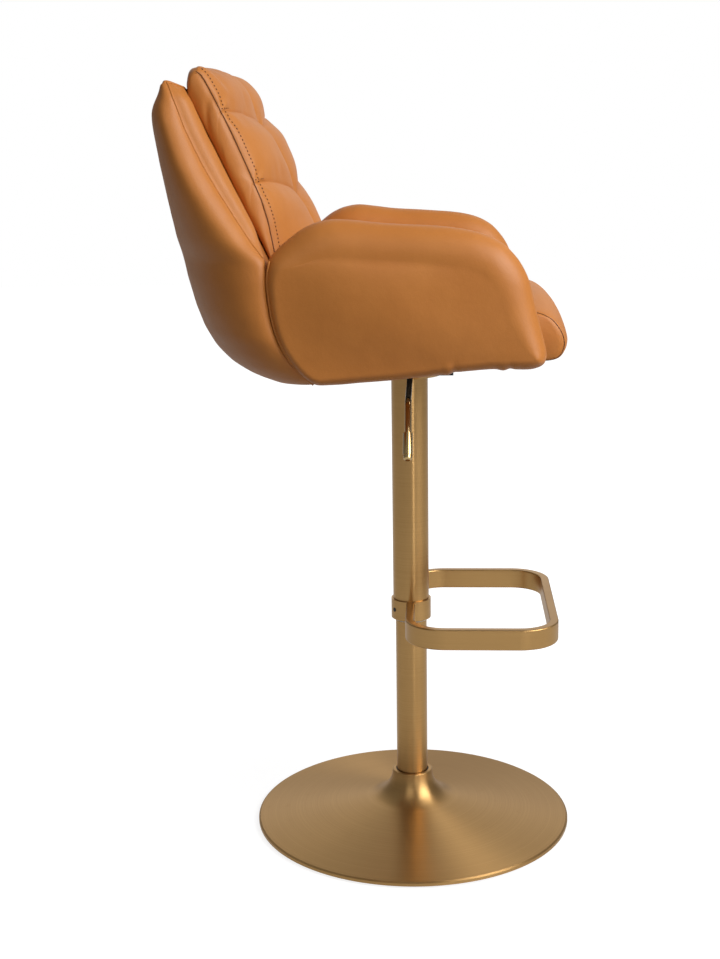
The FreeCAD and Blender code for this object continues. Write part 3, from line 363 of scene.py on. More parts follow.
# Dark thread colour: the real stitches, and also the close dark lines that paint the shade in the
# side seams.
def thread():
    f = Finish("cognac_thread_twist_and_seam_shade", Roughness=0.62)
    here = f.place()
    twist = f.node("ShaderNodeTexWave", {"bands_direction": "DIAGONAL"}, Vector=here, Scale=900,
                   Distortion=1.0)
    f.feed("Base Color", f.mix(twist, hue(74, 38, 14), hue(122, 70, 30)))
    f.feed("Normal", f.bump(twist, 0.0001, 0.6))
    return f.material


def gold(name, light, dark, rough, lines, turned=0.0, brush=0.7):
    """Brushed gold: fine lines along the given stretch, with cloudy tone and handling marks."""
    f = Finish(name, Metallic=1.0, Anisotropic=brush, Anisotropic_Rotation=turned)
    along = f.place(lines)
    hair = f.noise(along, 1.0, 3, 0.7)
    plain = f.place()
    cloud = f.noise(plain, 6, 3, 0.5).between(0.3, 0.72)
    marks = f.noise(plain, 60, 4, 0.65).between(0.55, 0.85)
    tone = f.mix(hair.between(0.3, 0.7) * 0.14 + cloud * 0.10, light, dark)
    f.feed("Base Color", tone)
    f.feed("Roughness", rough + hair * 0.05 + marks * 0.05)
    f.feed("Normal", f.bump(hair, 0.00001, 0.12))
    return f.material


def ringed_gold(name, light, dark, rough, brush):
    """Gold brushed in circles about the upright axis, as the spun base and turned tubes are."""
    f = Finish(name, Metallic=1.0, Anisotropic=brush, Anisotropic_Rotation=0.25)
    here = f.place()
    split = f.tree.nodes.new("ShaderNodeSeparateXYZ")
    f.join(here, split.inputs[0])
    x, y, z = (Wire(f, split.outputs[k]) for k in range(3))
    far = (x * x + y * y) ** 0.5
    ring = f.node("ShaderNodeCombineXYZ", {}, far, z, 0.0)
    hair = f.noise(ring, 1400, 3, 0.7)
    cloud = f.noise(here, 5, 3, 0.5).between(0.3, 0.72)
    marks = f.noise(here, 55, 4, 0.65).between(0.58, 0.85)
    tone = f.mix(hair.between(0.3, 0.7) * 0.22 + cloud * 0.12, light, dark)
    f.feed("Base Color", tone)
    f.feed("Roughness", rough + hair * 0.06 + marks * 0.07)
    f.feed("Normal", f.bump(hair, 0.00002, 0.3))
    return f.material


def speckled(name, light, dark, rough, metallic=0.0, scale=300, depth=0.0001, spread=0.1):
    """A plain hidden or minor finish: two tones mixed by fine noise, with its own bump."""
    f = Finish(name, Metallic=metallic)
    here = f.place()
    grain = f.noise(here, scale, 4, 0.6)
    broad = f.noise(here, scale / 20, 2, 0.5)
    f.feed("Base Color", f.mix(grain.between(0.3, 0.7), dark, light))
    f.feed("Roughness", rough + broad * spread)
    f.feed("Normal", f.bump(grain, depth, 0.6))
    return f.material


def ply(name):
    """Birch plywood: long face grain and thin glued layers."""
    f = Finish(name)
    rings = f.noise(f.place((4, 60, 400)), 1.0, 4, 0.6)
    here = f.place((1, 1, 330))
    layers = f.node("ShaderNodeTexWave", {"bands_direction": "Z"}, Vector=here, Scale=1.0)
    tone = f.mix(rings.between(0.3, 0.7), hue(188, 148, 98), hue(222, 188, 140))
    f.feed("Base Color", f.mix(layers * 0.35, tone, hue(138, 98, 60)))
    f.feed("Roughness", 0.55 + rings * 0.2)
    f.feed("Normal", f.bump(rings, 0.0002, 0.5))
    return f.material


def woven(name, light, dark):
    """Plain woven cloth."""
    f = Finish(name, Roughness=0.9, Sheen_Weight=0.2)
    here = f.place()
    warp = f.node("ShaderNodeTexWave", {"bands_direction": "X"}, Vector=here, Scale=260)
    weft = f.node("ShaderNodeTexWave", {"bands_direction": "Y"}, Vector=here, Scale=260)
    over = warp * weft
    f.feed("Base Color", f.mix(over, dark, light))
    f.feed("Normal", f.bump(over, 0.0003, 0.7))
    return f.material


def clear_ring(name):
    """Milky flexible plastic."""
    f = Finish(name, IOR=1.46, Subsurface_Weight=0.2)
    haze = f.noise(f.place(), 40, 3, 0.5)
    f.feed("Base Color", f.mix(haze, hue(226, 222, 214), hue(242, 240, 236)))
    f.feed("Roughness", 0.28 + haze * 0.15)
    return f.material


GOLD_LIGHT = hue(196, 156, 101)
GOLD_DARK = hue(150, 111, 62)
LEATHER = leather()
THREAD_AND_SEAM_SHADE = thread()
SPUN_GOLD = ringed_gold("spun_gold", GOLD_LIGHT, GOLD_DARK, 0.36, 0.8)
TUBE_GOLD = ringed_gold("turned_gold", GOLD_LIGHT, GOLD_DARK, 0.27, 0.7)
BAR_GOLD = gold("bar_gold", GOLD_LIGHT, GOLD_DARK, 0.30, (9, 9, 2600), brush=0.3)
BRIGHT_GOLD = gold("polished_gold", hue(206, 176, 124), hue(180, 146, 94), 0.10, (60, 60, 600),
                   brush=0.1)
STEEL = speckled("zinc_steel_grain", hue(196, 198, 200), hue(150, 152, 156), 0.35, 1.0, 700)
DARK_STEEL = speckled("black_steel_powder", hue(46, 46, 48), hue(26, 26, 28), 0.5, 0.0, 900, 0.0002)
IRON = speckled("cast_iron_skin", hue(70, 68, 66), hue(44, 43, 42), 0.7, 0.6, 260, 0.0006)
WHITE = speckled("white_acetal", hue(232, 230, 224), hue(214, 211, 204), 0.35, 0.0, 400, 0.00005)
BLACK = speckled("black_acetal", hue(34, 33, 32), hue(20, 20, 20), 0.4, 0.0, 400, 0.00008)
RUBBER = speckled("seal_rubber_skin", hue(30, 30, 30), hue(18, 18, 18), 0.8, 0.0, 500, 0.0002)

FINISHES = {
    "base_cover": SPUN_GOLD,
    "lower_column": TUBE_GOLD, "upper_column": TUBE_GOLD, "footrest_collar": TUBE_GOLD,
    "mount_dish": TUBE_GOLD, "footrest_bar": BAR_GOLD,
    "lever_rod": BRIGHT_GOLD, "lever_grip": BRIGHT_GOLD, "lever_tip": BRIGHT_GOLD,
    "ballast_disc": IRON, "column_socket": IRON,
    "slide_bush": WHITE, "guide_bush": WHITE, "column_plug": WHITE,
    "floor_ring": clear_ring("clear_ring_milky"), "neck_ring": BLACK, "gas_seal": RUBBER,
    "seat_pan": ply("seat_pan_ply"), "back_board": ply("back_board_ply"),
    "dust_cover": woven("black_lining_cloth", hue(40, 39, 38), hue(16, 16, 16)),
    "mechanism_tray": DARK_STEEL, "cross_straps": DARK_STEEL, "right_arm_hoop": DARK_STEEL,
    "left_arm_hoop": DARK_STEEL, "back_brackets": DARK_STEEL, "gas_cylinder": DARK_STEEL,
    "seat_bolts": DARK_STEEL, "lever_rocker": DARK_STEEL, "collar_screws": DARK_STEEL,
    "column_foot": DARK_STEEL,
}
for name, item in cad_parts.items():
    finish = FINISHES.get(name, STEEL)
    item.data.materials.clear()
    item.data.materials.append(finish)


# ---- the reclined plane of the back ----

RECLINE = math.radians(25.4)
BACK_FOOT = np.array([0.0, 147.0, 782.0])
UP_BACK = np.array([0.0, math.sin(RECLINE), math.cos(RECLINE)])
OFF_BACK = np.array([0.0, -math.cos(RECLINE), math.sin(RECLINE)])


def on_back(x, up, off):
    """A place from its distance across, up the back and off the back."""
    return BACK_FOOT + np.array([x, 0, 0]) + up * UP_BACK + off * OFF_BACK


def back_plane_y(z):
    return BACK_FOOT[1] + (z - BACK_FOOT[2]) * math.tan(RECLINE)


# ---- arms ----

# Seam where an arm meets the back shell, from its top to its underside: Y, Z.
ARM_SEAM = [(158, 827), (161, 808), (160, 786), (156, 757), (149, 733), (138, 711), (123, 692),
            (109, 679)]
ARM_OUTLINE = [
    (109, 869), (97, 872.5), (82, 874.5), (61, 873), (25, 869), (-24, 865.5), (-59, 862.5),
    (-81, 859), (-100, 853), (-117, 844), (-128, 834), (-139, 820), (-148, 802), (-155, 776),
    (-161, 752), (-166, 733), (-170, 716), (-170, 706), (-166, 699), (-157, 695), (-145, 693.5),
    (-111, 694.5), (-72, 692), (-42, 688), (2, 683), (51, 679), (88, 676), (106, 676),
    (117, 681), (129, 692), (143, 711), (154, 733), (161, 757), (165, 786), (166, 808),
    (161, 827), (148, 842), (131, 856), (121, 863),
]
ARM_CORNERS = [(131, 856), (-117, 844), (-166, 699), (106, 676)]
ARM_MIDDLE = 245.0
ARM_HALF = 33.0
ARM_LONG, ARM_TALL = 56, 32
# Depth of the rounded edge, from the top round to the underside and back.
ARM_ROUNDING = [40, 40, 35, 18, 14, 12, 11, 16, 40]


def arm(side, sign):
    """A padded panel whose edges are fully rounded along the top and tighter below."""
    loop = four_sided(ARM_OUTLINE, ARM_CORNERS, (ARM_LONG, ARM_TALL, ARM_LONG, ARM_TALL))
    marks = np.cumsum([0, ARM_LONG, ARM_TALL, ARM_LONG, ARM_TALL])
    around = np.arange(len(loop))
    keys = [marks[0], marks[1], marks[1] + 20, marks[2] - 3, marks[2] + 3, marks[3], marks[3] + 8,
            marks[4] - 8, marks[4]]
    depth = np.interp(around, keys, ARM_ROUNDING)
    depth = eased(depth, 12)[:, None]
    normal = eased(inward(loop), 4)
    loops = []
    steps = 16
    for k in range(steps + 1):
        turn = math.pi * k / steps
        across = math.cos(turn)
        tuck = 1 - math.sin(turn)
        flat = loop + normal * depth * tuck
        x = np.full((len(loop), 1), sign * (ARM_MIDDLE + ARM_HALF * across))
        loops.append(np.hstack([x, flat]))

    def crown(amount):
        def bulge(u, v):
            return np.array([sign * amount * (math.sin(math.pi * u) * math.sin(math.pi * v)) ** 1.6,
                             0, 0])
        return bulge

    piece = skin(side + "_arm_cover", loops, ARM_LONG, ARM_TALL, (crown(9.0), crown(-3.0)))
    applied(piece)
    moved(piece, slack)
    moved(piece, arm_gathers)
    finished(piece, "right_arm" if sign < 0 else "left_arm")
    return piece


def arm_gathers(places, normals):
    """Two short folds where the cover is drawn under the arm."""
    lift = np.zeros(len(places))
    low = np.exp(-((places[:, 2] - 694) / 9) ** 2)
    for middle, wide, size in ((-52, 5, 1.6), (-118, 6, 1.8), (-126, 4, -1.2), (-60, 4, -1.0)):
        lift += size * low * np.exp(-((places[:, 1] - middle) / wide) ** 2)
    return normals * lift[:, None]


def seated(piece):
    """Smooth, and riding with the seat."""
    for face in piece.data.polygons:
        face.use_smooth = True
    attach(piece, "seat")


def finished(piece, *nodes):
    """Leather on, and in place of its CAD solid where it stands for one."""
    piece.data.materials.clear()
    piece.data.materials.append(LEATHER)
    seated(piece)
    if nodes:
        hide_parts(*nodes)
    return piece


# ---- back shell ----

# Height, rear reach on the middle line, half width.
SHELL_LEVELS = np.array([
    (674, 199, 237), (680, 219, 249), (694, 242, 262), (712, 259, 270), (735, 271, 275),
    (763, 281.5, 276), (800, 292, 274), (850, 303.5, 267), (900, 310, 258), (950, 315.5, 248),
    (990, 320, 239), (1006, 321, 233), (1017, 317, 228), (1025, 309, 223), (1032, 300, 218),
    (1038, 292, 213),
])
# Rim seam where the outer panel meets the padded facing: Y, Z, then its distance from the middle.
RIM_SEAM = np.array([
    (109, 674, 262), (109, 679, 265), (123, 692, 268), (138, 711, 269), (149, 733, 270),
    (156, 757, 270), (160, 786, 269), (161, 808, 267), (162, 826, 263), (181, 849, 252),
    (201, 878, 244), (222, 912, 238), (238, 940, 234), (257, 980, 231), (271, 1017, 226),
    (277, 1031, 219), (282, 1038, 209),
])
SHELL_SIDE, SHELL_REAR = 26, 60


def shell_loop(level):
    """One closed section: round the outside from rim to rim, then back across the facing."""
    rear, half = (np.interp(level, SHELL_LEVELS[:, 0], SHELL_LEVELS[:, k]) for k in (1, 2))
    rim_y, rim_x = (np.interp(level, RIM_SEAM[:, 1], RIM_SEAM[:, k]) for k in (0, 2))
    rim_x = min(rim_x, half - 1.5)
    lead = 70.0
    share = math.sqrt(1 - (rim_x / half) ** 2)
    widest = rim_y + lead * share
    widest = min(widest, rear - 12)
    lead = (widest - rim_y) / share
    start = math.acos(rim_x / half)
    side = [(-half * math.cos(a), widest - lead * math.sin(a)) for a in np.linspace(start, 0, 14)]
    bow = [(-half * math.cos(a), widest + (rear - widest) * math.sin(a) ** 0.97)
           for a in np.linspace(0, math.pi / 2, 40)[1:]]
    near = np.array(side + bow)
    outer = np.vstack([near, (near * (-1, 1))[::-1][1:]])
    outer = spaced(outer, 2 * SHELL_SIDE + SHELL_REAR)
    t = np.linspace(1, -1, SHELL_REAR + 1)[1:-1]
    x = rim_x * (0.55 * t + 0.45 * np.sin(t * math.pi / 2))
    loop = np.vstack([outer, np.stack([x, np.zeros_like(x)], axis=1)])
    dip = 22 * np.clip(1 - (loop[:, 0] / 215) ** 2, 0, 1) * step_between(890, 1038, level)
    z = level - dip
    front = 2 * SHELL_SIDE + SHELL_REAR + 1
    flat = np.maximum(back_plane_y(z[front:]) + 1.2, 105)
    reach = np.abs(loop[front:, 0])
    if level < 827:
        edge = rim_y + 4
        loop[front:, 1] = flat + (edge - flat) * step_between(204, 214, reach)
    else:
        full = step_between(820, 870, level) * (1 - 0.6 * step_between(1014, 1036, level))
        from_rim = np.clip((rim_x - reach) / 34, 0, 1)
        lift = 11.5 * full * np.sin(math.pi * np.clip(from_rim, 0, 1) ** 0.7) ** 0.8
        loop[front:, 1] = rim_y + (flat - rim_y) * step_between(0, 1, from_rim) - lift
    return np.column_stack([loop, z])


def back_shell():
    """The padded shell, with its rim seam drawn in, and the piping that finishes its seams."""
    low = np.linspace(674, 690, 5)
    middle = np.linspace(690, 1022, 58)[1:]
    high = np.array([1026.5, 1030, 1033, 1035])
    levels = np.concatenate([low, middle, high])
    loops = [shell_loop(level) for level in levels]
    top = loops[-1]
    for shrink, rise in ((0.93, 1.8), (0.82, 3.0)):
        ring = top.copy()
        ring[:, 0] *= 0.88 + shrink * 0.12
        ring[:, 1] += (top_middle(top) - ring[:, 1]) * (1 - shrink)
        ring[:, 2] += rise
        loops.append(ring)
    count = len(loops[0])
    far = 2 * SHELL_SIDE + SHELL_REAR
    for row in range(len(low), len(levels)):
        for k, inward_way in ((0, 1), (far, -1)):
            loops[row][k] += np.array([inward_way * 1.6, 1.0, 0])

    def flat(u, v):
        return np.array([0, 0, 1.2 * math.sin(math.pi * u) * math.sin(math.pi * v)])

    def under(u, v):
        return np.array([0, 0, -1.5 * math.sin(math.pi * u) * math.sin(math.pi * v)])

    # A loop starts with its side, so the grid's long way runs across the shell.
    turned = [np.roll(loop, -SHELL_SIDE, axis=0) for loop in loops]
    shift = {k: (k - SHELL_SIDE) % count for k in (0, far)}
    seams = []
    for row in range(len(levels) - 1):
        for k in shift.values():
            seams.append((row * count + k, (row + 1) * count + k, 0.7))
    piece = skin("back_shell_cover", turned, SHELL_REAR, SHELL_SIDE, (under, flat), seams)
    applied(piece)
    moved(piece, slack)
    finished(piece, "back_shell")
    near = [loops[row][0] for row in range(len(levels)) if levels[row] >= 826]
    across = [loops[len(levels) - 1][k % count] for k in range(count, far - 1, -2)]
    other = [p * (-1, 1, 1) for p in near[::-1]]
    piped("shell_rim_piping", near + across[1:-1] + other, 1.5, piece)
    return piece


def top_middle(loop):
    """For each point of the top section, the Y of the shell's mid line at that place across."""
    x = np.abs(loop[:, 0])
    return 283 + 24 * np.clip(1 - (x / 216) ** 2, 0, 1)


# ---- seams laid on a surface ----

def surface_of(*pieces):
    """A search tree over the finished faces of some pieces."""
    verts, faces = [], []
    for piece in pieces:
        base = len(verts)
        verts += [v.co.copy() for v in piece.data.vertices]
        faces += [[base + i for i in f.vertices] for f in piece.data.polygons]
    return BVHTree.FromPolygons(verts, faces)


def curve_object(name, points):
    """Edges through points in millimetres, as a mesh object for a Geometry Nodes tree."""
    mesh = bpy.data.meshes.new(name)
    mesh.from_pydata([[c * MM for c in p] for p in points],
                     [(i, i + 1) for i in range(len(points) - 1)], [])
    piece = bpy.data.objects.new(name, mesh)
    bpy.context.scene.collection.objects.link(piece)
    return piece


class Tree:
    """A Geometry Nodes tree with named inputs."""

    def __init__(self, name, inputs):
        self.group = bpy.data.node_groups.new(name, "GeometryNodeTree")
        face = self.group.interface
        face.new_socket("Geometry", in_out="INPUT", socket_type="NodeSocketGeometry")
        self.sockets = {}
        for key, kind, value in inputs:
            socket = face.new_socket(key, in_out="INPUT", socket_type=kind)
            if value is not None:
                socket.default_value = value
            self.sockets[key] = socket.identifier
        face.new_socket("Geometry", in_out="OUTPUT", socket_type="NodeSocketGeometry")
        self.start = self.group.nodes.new("NodeGroupInput")
        self.end = self.group.nodes.new("NodeGroupOutput")

    def given(self, key):
        return self.start.outputs[key]

    def add(self, kind, settings=None, **links):
        new = self.group.nodes.new(kind)
        for key, value in (settings or {}).items():
            setattr(new, key, value)
        for key, value in links.items():
            socket = new.inputs[key.replace("_", " ")]
            if isinstance(value, bpy.types.NodeSocket):
                self.group.links.new(value, socket)
            else:
                socket.default_value = value
        return new.outputs[0]

    def close(self, geometry, material):
        real = self.add("GeometryNodeRealizeInstances", Geometry=geometry)
        dressed = self.add("GeometryNodeSetMaterial", Geometry=real, Material=material)
        self.group.links.new(dressed, self.end.inputs[0])

    def run(self, piece, **values):
        """Puts the tree on a piece, sets its inputs and keeps the plain mesh that comes out."""
        modifier = piece.modifiers.new("made", "NODES")
        modifier.node_group = self.group
        for key, value in values.items():
            modifier[self.sockets[key]] = value
        applied(piece)
        return piece


def piping_tree():
    """A round cord swept along the seam."""
    tree = Tree("seam_piping", [("Radius", "NodeSocketFloat", 0.0015),
                                ("Sides", "NodeSocketInt", 8)])
    path = tree.add("GeometryNodeMeshToCurve", Mesh=tree.given("Geometry"))
    circle = tree.add("GeometryNodeCurvePrimitiveCircle", Resolution=tree.given("Sides"),
                      Radius=tree.given("Radius"))
    tube = tree.add("GeometryNodeCurveToMesh", Curve=path, Profile_Curve=circle, Fill_Caps=True)
    smooth = tree.add("GeometryNodeSetShadeSmooth", Geometry=tube)
    tree.close(smooth, LEATHER)
    return tree


def stitch_tree():
    """Short rounded stitches at an even pitch along the seam line; packed close, a dark line of
    painted seam shade.
    """
    tree = Tree("seam_stitches", [
        ("Pitch", "NodeSocketFloat", 0.0045), ("Long", "NodeSocketFloat", 0.003),
        ("Thick", "NodeSocketFloat", 0.0005)])
    path = tree.add("GeometryNodeMeshToCurve", Mesh=tree.given("Geometry"))
    even = tree.add("GeometryNodeResampleCurve", {"mode": "LENGTH"}, Curve=path,
                    Length=tree.given("Pitch"))
    ball = tree.add("GeometryNodeMeshUVSphere", Segments=8, Rings=6, Radius=1.0)
    half = tree.add("ShaderNodeMath", {"operation": "MULTIPLY"})
    half.node.inputs[1].default_value = 0.5
    tree.group.links.new(tree.given("Long"), half.node.inputs[0])
    size = tree.add("ShaderNodeCombineXYZ", X=tree.given("Thick"), Y=tree.given("Thick"), Z=half)
    tangent = tree.add("GeometryNodeInputTangent")
    turn = tree.add("FunctionNodeAlignEulerToVector", {"axis": "Z"}, Vector=tangent)
    placed = tree.add("GeometryNodeInstanceOnPoints", Points=even, Instance=ball, Rotation=turn,
                      Scale=size)
    smooth = tree.add("GeometryNodeSetShadeSmooth", Geometry=placed)
    tree.close(smooth, THREAD_AND_SEAM_SHADE)
    return tree


PIPING = piping_tree()
STITCHES = stitch_tree()


def piped(name, points, radius, on=None, sink=0.2):
    """Leather piping along a seam, laid on a piece's surface."""
    line = spaced(smooth_through(points), int(len(points) * 3))
    if on is not None:
        line = laid(line, on, -sink)
    piece = curve_object(name, line)
    PIPING.run(piece, Radius=radius * MM, Sides=8)
    closed_outward(piece)
    return finished(piece)


def laid(points, on, rise):
    """Points moved to the nearest place on a piece's surface, then off it by rise."""
    tree = surface_of(on)
    out = []
    for p in points:
        spot, normal, _, _ = tree.find_nearest(Vector(p) * MM)
        out.append(np.array(spot + normal * rise * MM) / MM)
    return np.array(out)


def stitched(name, points, on, pitch, long, thick, rise=0.1):
    """Stitches along a line on a piece's surface, or, packed close, a dark line of painted seam
    shade; all sizes in millimetres.
    """
    line = laid(spaced(smooth_through(points), 160), on, rise)
    piece = curve_object(name, line)
    STITCHES.run(piece, Pitch=pitch * MM, Long=long * MM, Thick=thick * MM)
    closed_outward(piece)
    seated(piece)
    return piece


def closed_outward(piece):
    work = bmesh.new()
    work.from_mesh(piece.data)
    bmesh.ops.remove_doubles(work, verts=work.verts, dist=1e-7)
    bmesh.ops.recalc_face_normals(work, faces=work.faces)
    work.to_mesh(piece.data)
    work.free()


# ---- back cushion ----

PAD_HALF = 190.0
# Height of the side seam off the back, against the distance up the back.
SIDE_SEAM_UP = [-10, 0, 30, 46, 64, 88, 114, 139, 174, 226, 270, 290]
SIDE_SEAM_OFF = [3, 4, 5, 7.6, 12.6, 18.8, 23.2, 25, 26, 27.6, 26, 24]
PAD_FOOT = -10.0
PAD_ROWS = (24, 20, 22)
PAD_BACK = sum(PAD_ROWS)
PAD_GUSSET = 8
PAD_TRACE = (60, 50, 160)  # points that trace each row before it is cut into equal lengths
TOP_EDGE_OFF = 22.5  # height off the back at which the front ends and the gusset begins
PUFFS = (24.5, 24.0, 19.5)  # rise of each row's panels above their seams
SEAM_RISE = (21.5, 16.5)  # the same where the panels meet at the lower and the upper cross seam
SEAM_REACH = 36.0  # distance over which a panel sinks to its cross seam
ROWS_FROM, ROWS_TO = -40.0, 322.0  # where the lowest and the highest row would end if unbent
CENTRE_OFF = 37.0  # height of the centre seam off the back
TURN_FROM = 236.0  # height up the back at which the front begins to turn over the top
SEAM_CLOSE = 1.7  # distance from a seam to the rows and columns of faces next to it


def cross_seams(x):
    """How far up the back the two cross seams run: each rises from the middle to the sides."""
    rise = min(abs(x) / PAD_HALF, 1) ** 0.62
    return 96 + 40 * rise, 198 + 31 * rise


def pad_front(x, up, end):
    """How far the cushion's front stands off the back."""
    side = np.interp(up, SIDE_SEAM_UP, SIDE_SEAM_OFF)
    reach = min(abs(x) / PAD_HALF, 1)
    base = CENTRE_OFF + (side - CENTRE_OFF) * step_between(0, 1, reach)
    column = (reach - 0.5) * 2
    puff = (1 - abs(column) ** 2.5) ** 0.72
    rows = (ROWS_FROM, *cross_seams(x), ROWS_TO)
    row = 0 if up < rows[1] else 1 if up < rows[2] else 2
    along = 2 * (up - rows[row]) / (rows[row + 1] - rows[row]) - 1
    swell = (1 - min(abs(along), 1) ** 3.0) ** 0.75
    rise = PUFFS[row]
    for seam, low in zip(rows[1:3], SEAM_RISE):
        rise = low + (rise - low) * step_between(0, SEAM_REACH, abs(up - seam))
    height = base + rise * puff * (0.76 + 0.24 * swell)
    foot = 1 - np.clip((16 - up) / 26, 0, 1) ** 2.4
    height = 4 + (height - 4) * max(foot, 0) ** 0.5
    turn = np.clip((up - TURN_FROM) / (end - TURN_FROM), 0, 1)
    return height * (1 - turn ** (2.3 + 11 * step_between(0.8, 1, reach))) ** (1 / 2.1)


def pad_top(x):
    """Distance up the back of the cushion's top, higher over each column."""
    reach = min(abs(x) / PAD_HALF, 1)
    return 290 + 10.5 * (1 - abs(2 * reach - 1) ** 2.6) ** 0.8


def spaced_close(points, count, close):
    """A line cut into count lengths, the first and last of them short."""
    p = np.asarray(points, float)
    run = np.concatenate([[0], np.cumsum(np.linalg.norm(np.diff(p, axis=0), axis=1))])
    at = np.concatenate([[0], np.linspace(close, run[-1] - close, count - 1), [run[-1]]])
    return np.stack([np.interp(at, run, p[:, k]) for k in range(p.shape[1])], axis=1)


def pad_loop(x):
    end = pad_top(x)
    low, high = cross_seams(x)
    stops = (PAD_FOOT, low, high, end - 0.02)
    ups = np.concatenate([np.linspace(a, b, n) for a, b, n in zip(stops, stops[1:], PAD_TRACE)])
    line = np.array([(u, pad_front(x, u, end)) for u in ups])
    last = max(i for i, (u, h) in enumerate(line) if h >= TOP_EDGE_OFF)
    first, second = PAD_TRACE[0], PAD_TRACE[0] + PAD_TRACE[1]
    parts = [line[:first], line[first - 1:second], line[second - 1:last + 1]]
    front = np.vstack([spaced_close(part, n, SEAM_CLOSE)[:-1] for part, n in zip(parts, PAD_ROWS)]
                      + [line[last:last + 1]])
    tip = line[last]
    side = min(abs(x) / PAD_HALF, 1) ** 3
    back_top = end - 8 - 18 * side
    gusset = spaced(smooth_through([tip, (end - 1.5 - 7 * side, tip[1] * 0.5), (back_top, 0.8)]),
                    PAD_GUSSET)[1:]
    back = np.stack([np.linspace(back_top, PAD_FOOT, PAD_BACK + 1)[1:], np.full(PAD_BACK, 0.8)],
                    axis=1)
    bottom = spaced(np.array([(PAD_FOOT, 0.8), front[0]]), PAD_GUSSET)[1:-1]
    flat = np.vstack([front, gusset, back, bottom])
    return np.array([on_back(x, u, h) for u, h in flat])


def back_cushion():
    """Two columns of three puffed panels, a side gusset, the seams and stitches, and a dark line of
    painted shade along each side seam.
    """
    one_side = np.concatenate([[0], np.linspace(SEAM_CLOSE, PAD_HALF - SEAM_CLOSE, 46), [PAD_HALF]])
    xs = np.concatenate([-one_side[::-1], one_side[1:]])
    half = len(one_side) - 1
    loops = [pad_loop(x) for x in xs]
    count = len(loops[0])
    seams = []
    for row in range(PAD_BACK + PAD_GUSSET):
        seams.append((half * count + row, half * count + row + 1, 0.9 if row < PAD_BACK else 0.4))
    for side in (0, len(loops) - 1):
        for k in range(PAD_BACK + PAD_GUSSET):
            seams.append((side * count + k, side * count + k + 1, 0.95))
    lines = (PAD_ROWS[0], PAD_ROWS[0] + PAD_ROWS[1], PAD_BACK)
    for k in lines:
        for col in range(len(loops) - 1):
            seams.append((col * count + k, (col + 1) * count + k, 0.9))
    for loop in loops:
        for k in lines[:2]:
            loop[k] -= OFF_BACK * 1.5
        loop[lines[2]] -= UP_BACK * 1.2 + OFF_BACK * 0.8
    for k in range(2, PAD_BACK):
        loops[half][k] -= OFF_BACK * 2.2
        for side, sign in ((0, 1), (-1, -1)):
            loops[side][k] += np.array([sign * 1.3, 0, 0]) - OFF_BACK * 0.9

    def gusset(sign):
        def bulge(u, v):
            ups = u * 295
            nip = math.exp(-((ups - 238) / 11) ** 2)
            out = (math.sin(math.pi * u) ** 0.3) * math.sin(math.pi * v) ** 0.7
            return np.array([sign * out * (6.5 - 2.6 * nip), 0, 0])
        return bulge

    piece = skin("back_cushion_cover", loops, PAD_BACK, PAD_GUSSET, (gusset(-1), gusset(1)), seams)
    inflated(piece, pad_pins(loops, lines, half, count), 1.5)
    applied(piece)
    moved(piece, slack)
    moved(piece, pad_creases)
    finished(piece, "back_cushion")

    for side, sign in (("right", -1), ("left", 1)):
        inset = PAD_HALF - 8
        row = [on_back(sign * inset, u, pad_front(inset, u, pad_top(inset))) for u in
               np.linspace(2, pad_top(inset) - 9, 40)]
        stitched(side + "_edge_stitches", row, piece, 4.8, 2.4, 0.75, 0.3)
        # A dark line of close stitches sunk into the side seam: painted shade in the seam's groove.
        seam = [on_back(sign * (PAD_HALF - 1), u, pad_front(PAD_HALF - 1, u, 290) - 1) for u in
                np.linspace(-2, 284, 60)]
        stitched(side + "_edge_seam_thread", seam, piece, 1.2, 1.4, 0.7, 0.0)
        for number in (0, 1):
            start = [on_back(sign * x, cross_seams(x)[number] + 3.5,
                             pad_front(x, cross_seams(x)[number] + 3.5, 300))
                     for x in np.linspace(PAD_HALF - 4, PAD_HALF - 18, 6)]
            name = "%s_cross_stitches_%d" % (side, number + 1)
            stitched(name, start, piece, 4.8, 2.4, 0.65, 0.25)
    return piece


def pad_creases(places, normals):
    """Fine tension creases that fan out from the crossings of the seams."""
    off = places - BACK_FOOT
    up = off @ UP_BACK
    lift = np.zeros(len(places))
    for number in (0, 1):
        for x in (-PAD_HALF, 0.0, PAD_HALF):
            seam = cross_seams(x)[number]
            dx = places[:, 0] - x
            du = up - seam
            far = np.hypot(dx, du)
            angle = np.arctan2(du, np.abs(dx) + 1e-6)
            fan = np.cos(angle * 7 + x * 0.01 + seam * 0.05)
            lift += 0.9 * fan * np.exp(-((far - 16) / 13) ** 2)
    facing = np.clip(normals @ OFF_BACK, 0, 1)
    return normals * (lift * facing)[:, None]


def pad_pins(loops, lines, half, count):
    """Vertices held by seams, the back and the foot of the cushion."""
    held = set()
    for col in range(len(loops)):
        for k in lines:
            held.add(col * count + k)
        held.add(col * count)
        for k in range(PAD_BACK + PAD_GUSSET, count):
            held.add(col * count + k)
    for k in range(count):
        for col in (0, half, len(loops) - 1):
            held.add(col * count + k)
    return sorted(held)


